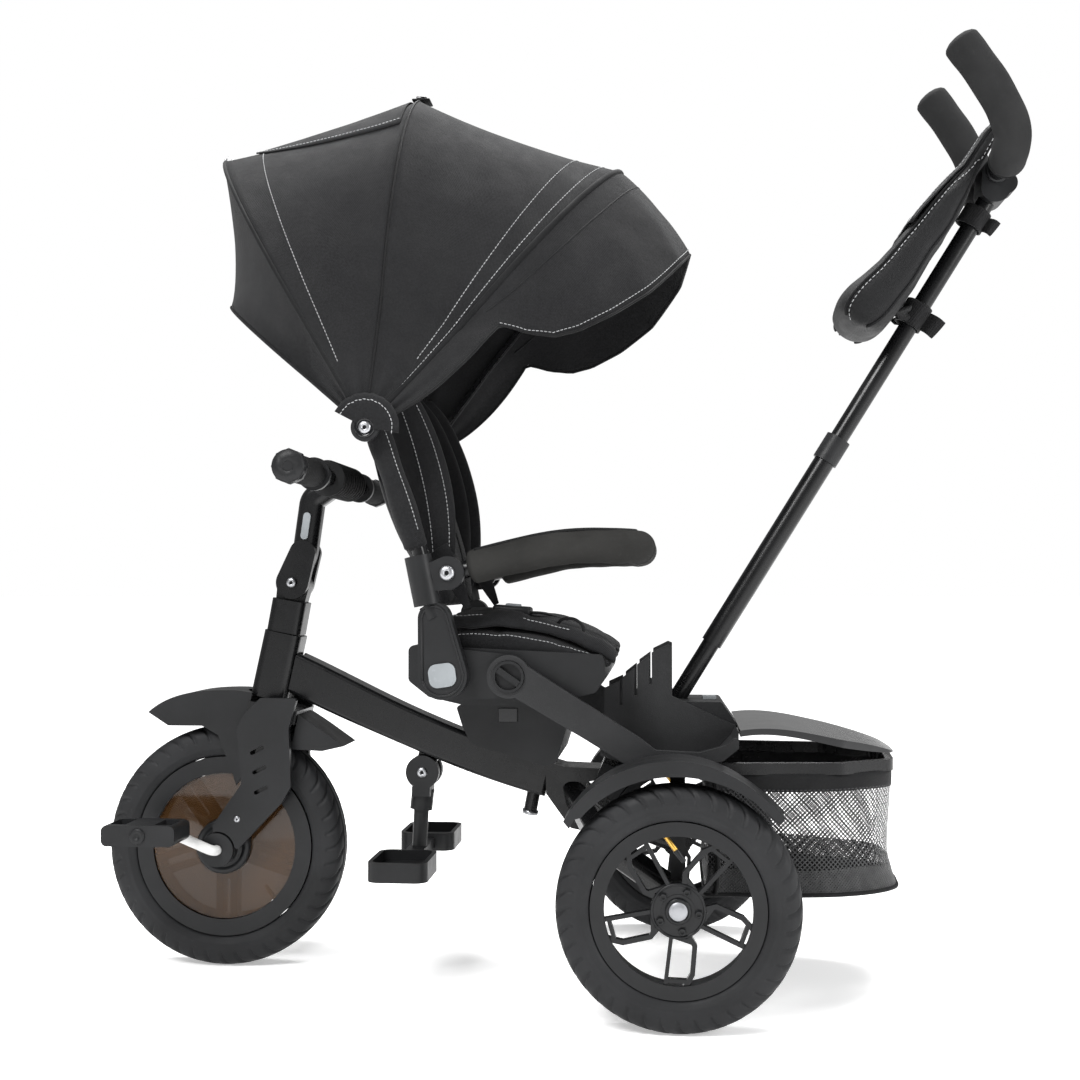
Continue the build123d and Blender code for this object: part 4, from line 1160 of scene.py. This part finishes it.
BAG = [(478, 56, 3, 44), (482, 56, 17, 58), (492, 55, 27, 69), (512, 52, 30, 75), (545, 47, 27, 75),
       (585, 43, 23.5, 74), (622, 40, 21, 73), (655, 38, 18, 71), (680, 37, 13, 64), (700, 37, 9, 56),
       (730, 37, 7.5, 53), (752, 36, 7, 51), (761, 35.5, 3, 46)]
bag_vertices, bag_sides = [], 64
bag_stations = profile_stations(BAG, 6)
for d, n, _, _, thick, wide in bag_stations:
    for k in range(bag_sides):
        a = 2 * pi * k / bag_sides
        c, s = cos(a), sin(a)
        y = wide * (1 if c >= 0 else -1) * abs(c) ** 0.55
        out = thick * (1 if s >= 0 else -1) * abs(s) ** 0.62
        crease = 1.6 * noise.noise(Vector((d * 0.02, y * 0.03, out * 0.05))) \
            + 0.8 * noise.noise(Vector((d * 0.06, y * 0.05, 4.0)))
        sag = 5.0 * exp(-((d - 515) / 30) ** 2) * (1 - (y / 80) ** 2) * (1 if s > 0 else 0)
        clear_of_pole = 17.5 if d < 690 else 27.5
        bag_vertices.append(on_pole(d, max(n + out + crease + sag, clear_of_pole), y + crease))
bag = piece("handle_bag", bag_vertices, capped_faces(len(bag_stations), bag_sides), BAG_CLOTH, "pole")
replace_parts(bag, "parents_bag")
for side, sign in SIDES.items():
    for edge_name, share in (("outer", 0.86), ("inner", -0.80)):
        line = [on_pole(d, n + thick * share, sign * wide * 0.93)
                for d, n, _, _, thick, wide in bag_stations[6:-4]]
        line = snapped(bag, line, 0.8)
        sweep(f"bag_piping_{edge_name}_{side}", line, 1.7, PIPING, "pole", 8)
        if edge_name == "outer":
            inset = snapped(bag, [p - pole_out * 7 for p in line], 0.5)
            stitches("bag_stitch_" + side, [inset], body="pole", pitch=6, length=4)
flap_rows = []
for i in range(19):
    u = i / 18
    d = 758 - 150 * u
    n = value_at([(600, 65), (622, 62.5), (655, 57.5), (680, 52), (700, 48), (730, 46), (752, 44.5),
                  (761, 42)], d)[0]
    wide = value_at([(600, 70), (655, 68), (680, 61), (700, 54), (730, 51), (758, 49)], d)[0]
    flap_rows.append([on_pole(d, n + 1.8 + 1.4 * noise.noise(Vector((u * 4, j * 0.3, 0)))
                              - 9 * max(0, abs(j / 10 - 1) - 0.86) * 3, (j / 10 - 1) * wide)
                      for j in range(21)])
bag_flap = cloth_patch("bag_flap", flap_rows, BAG_CLOTH, 1.6)
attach(bag_flap, "pole")
flap_edge = [row[1] + pole_out * 1.4 for row in flap_rows] \
    + [p + pole_out * 1.4 for p in flap_rows[-2][2:-2]] \
    + [row[-2] + pole_out * 1.4 for row in reversed(flap_rows)]
flap_thread = stitches("bag_flap_stitch", [flap_edge], body="pole", pitch=6, length=4)


def pole_strap(name, d, width, tail_turn, tail_length):
    """A hook-and-loop strap round the pole, with its free tail standing off."""
    rows = []
    for i in range(7):
        along = d + width * (i / 6 - 0.5)
        row = []
        for k in range(33):
            a = 2 * pi * k / 32
            r = 13.6 + 0.5 * sin(3 * a)
            row.append(on_pole(along, r * cos(a) + (4 if cos(a) > 0.4 else 0), r * sin(a)))
        rows.append(row)
    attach(cloth_patch(name, rows, WEBBING, 2.0), "pole")
    root = on_pole(d, -13, -4)
    tip = root - pole_out * tail_length + Vector((0, -6, tail_turn))
    tail = smooth_line([root + Vector((0, 2, 0)), root.lerp(tip, 0.5) + Vector((0, -3, 0)), tip], 6)
    sweep(name + "_tail", tail, width * 0.42, WEBBING, "pole", 14, flat=0.14)


pole_strap("bag_strap_low", 534, 30, -4, 17)
pole_strap("bag_strap_high", 668, 24, -2, 12)
tie = smooth_line([on_pole(528, 16, -30), on_pole(526, 13, -16), on_pole(530, 14, 0),
                   on_pole(526, 13, 16), on_pole(528, 16, 30)], 8)
sweep("bag_tie", tie, 9, WEBBING, "pole", 12, flat=0.2)


# --- stage ----------------------------------------------------------------------------------------
floor_material, floor_tree, floor_shader = new_material("studio_floor")
spots = remap(floor_tree, speckle(floor_tree, position(floor_tree), 400, 2), 0.3, 0.7, 0, 1)
floor_tree.links.new(blend_colours(floor_tree, spots, (0.955, 0.955, 0.955, 1), (0.97, 0.97, 0.97, 1)),
                     floor_shader.inputs["Base Color"])
floor_shader.inputs["Roughness"].default_value = 0.7
floor_shader.inputs["Specular IOR Level"].default_value = 0.1
# painted light: the floor glows white, weakly (0.4) near the middle and more strongly (up to 0.8) from 0.7
# m to 3.5 m out, lifting its shadows and filling the far floor to white
floor_shader.inputs["Emission Color"].default_value = (1, 1, 1, 1)
distance = floor_tree.nodes.new("ShaderNodeVectorMath")
distance.operation = "LENGTH"
floor_tree.links.new(position(floor_tree), distance.inputs[0])
floor_tree.links.new(remap(floor_tree, distance.outputs["Value"], 0.7, 3.5, 0.4, 0.8),
                     floor_shader.inputs["Emission Strength"])
REACH = 60000
floor_rim = [(REACH * cos(2 * pi * i / 64), REACH * sin(2 * pi * i / 64), 0) for i in range(64)]
floor_piece = piece("floor", floor_rim, [tuple(range(64))], floor_material, closed=False)

world = bpy.data.worlds.new("studio")
world.use_nodes = True
backdrop = world.node_tree.nodes["Background"]
backdrop.inputs["Color"].default_value = (1, 1, 1, 1)
seen = world.node_tree.nodes.new("ShaderNodeLightPath").outputs["Is Camera Ray"]
world.node_tree.links.new(remap(world.node_tree, seen, 0, 1, 0.32, 1.0), backdrop.inputs["Strength"])
scene.world = world


def soft_light(name, place, target, size, watts):
    lamp = bpy.data.lights.new(name, "AREA")
    lamp.shape = "RECTANGLE"
    lamp.size, lamp.size_y = size
    lamp.energy = watts
    made = bpy.data.objects.new(name, lamp)
    made.location = place
    made.rotation_euler = (Vector(target) - Vector(place)).to_track_quat("-Z", "Y").to_euler()
    scene.collection.objects.link(made)


soft_light("key_light", (-1.2, -2.2, 2.6), (0, 0, 0.5), (1.2, 1.2), 110)
soft_light("top_light", (0.2, 0.6, 3.0), (0, 0, 0.4), (2.4, 1.0), 130)
soft_light("side_light", (2.6, -1.2, 1.3), (0, 0, 0.5), (0.6, 1.6), 50)
scene.view_settings.view_transform = "Standard"
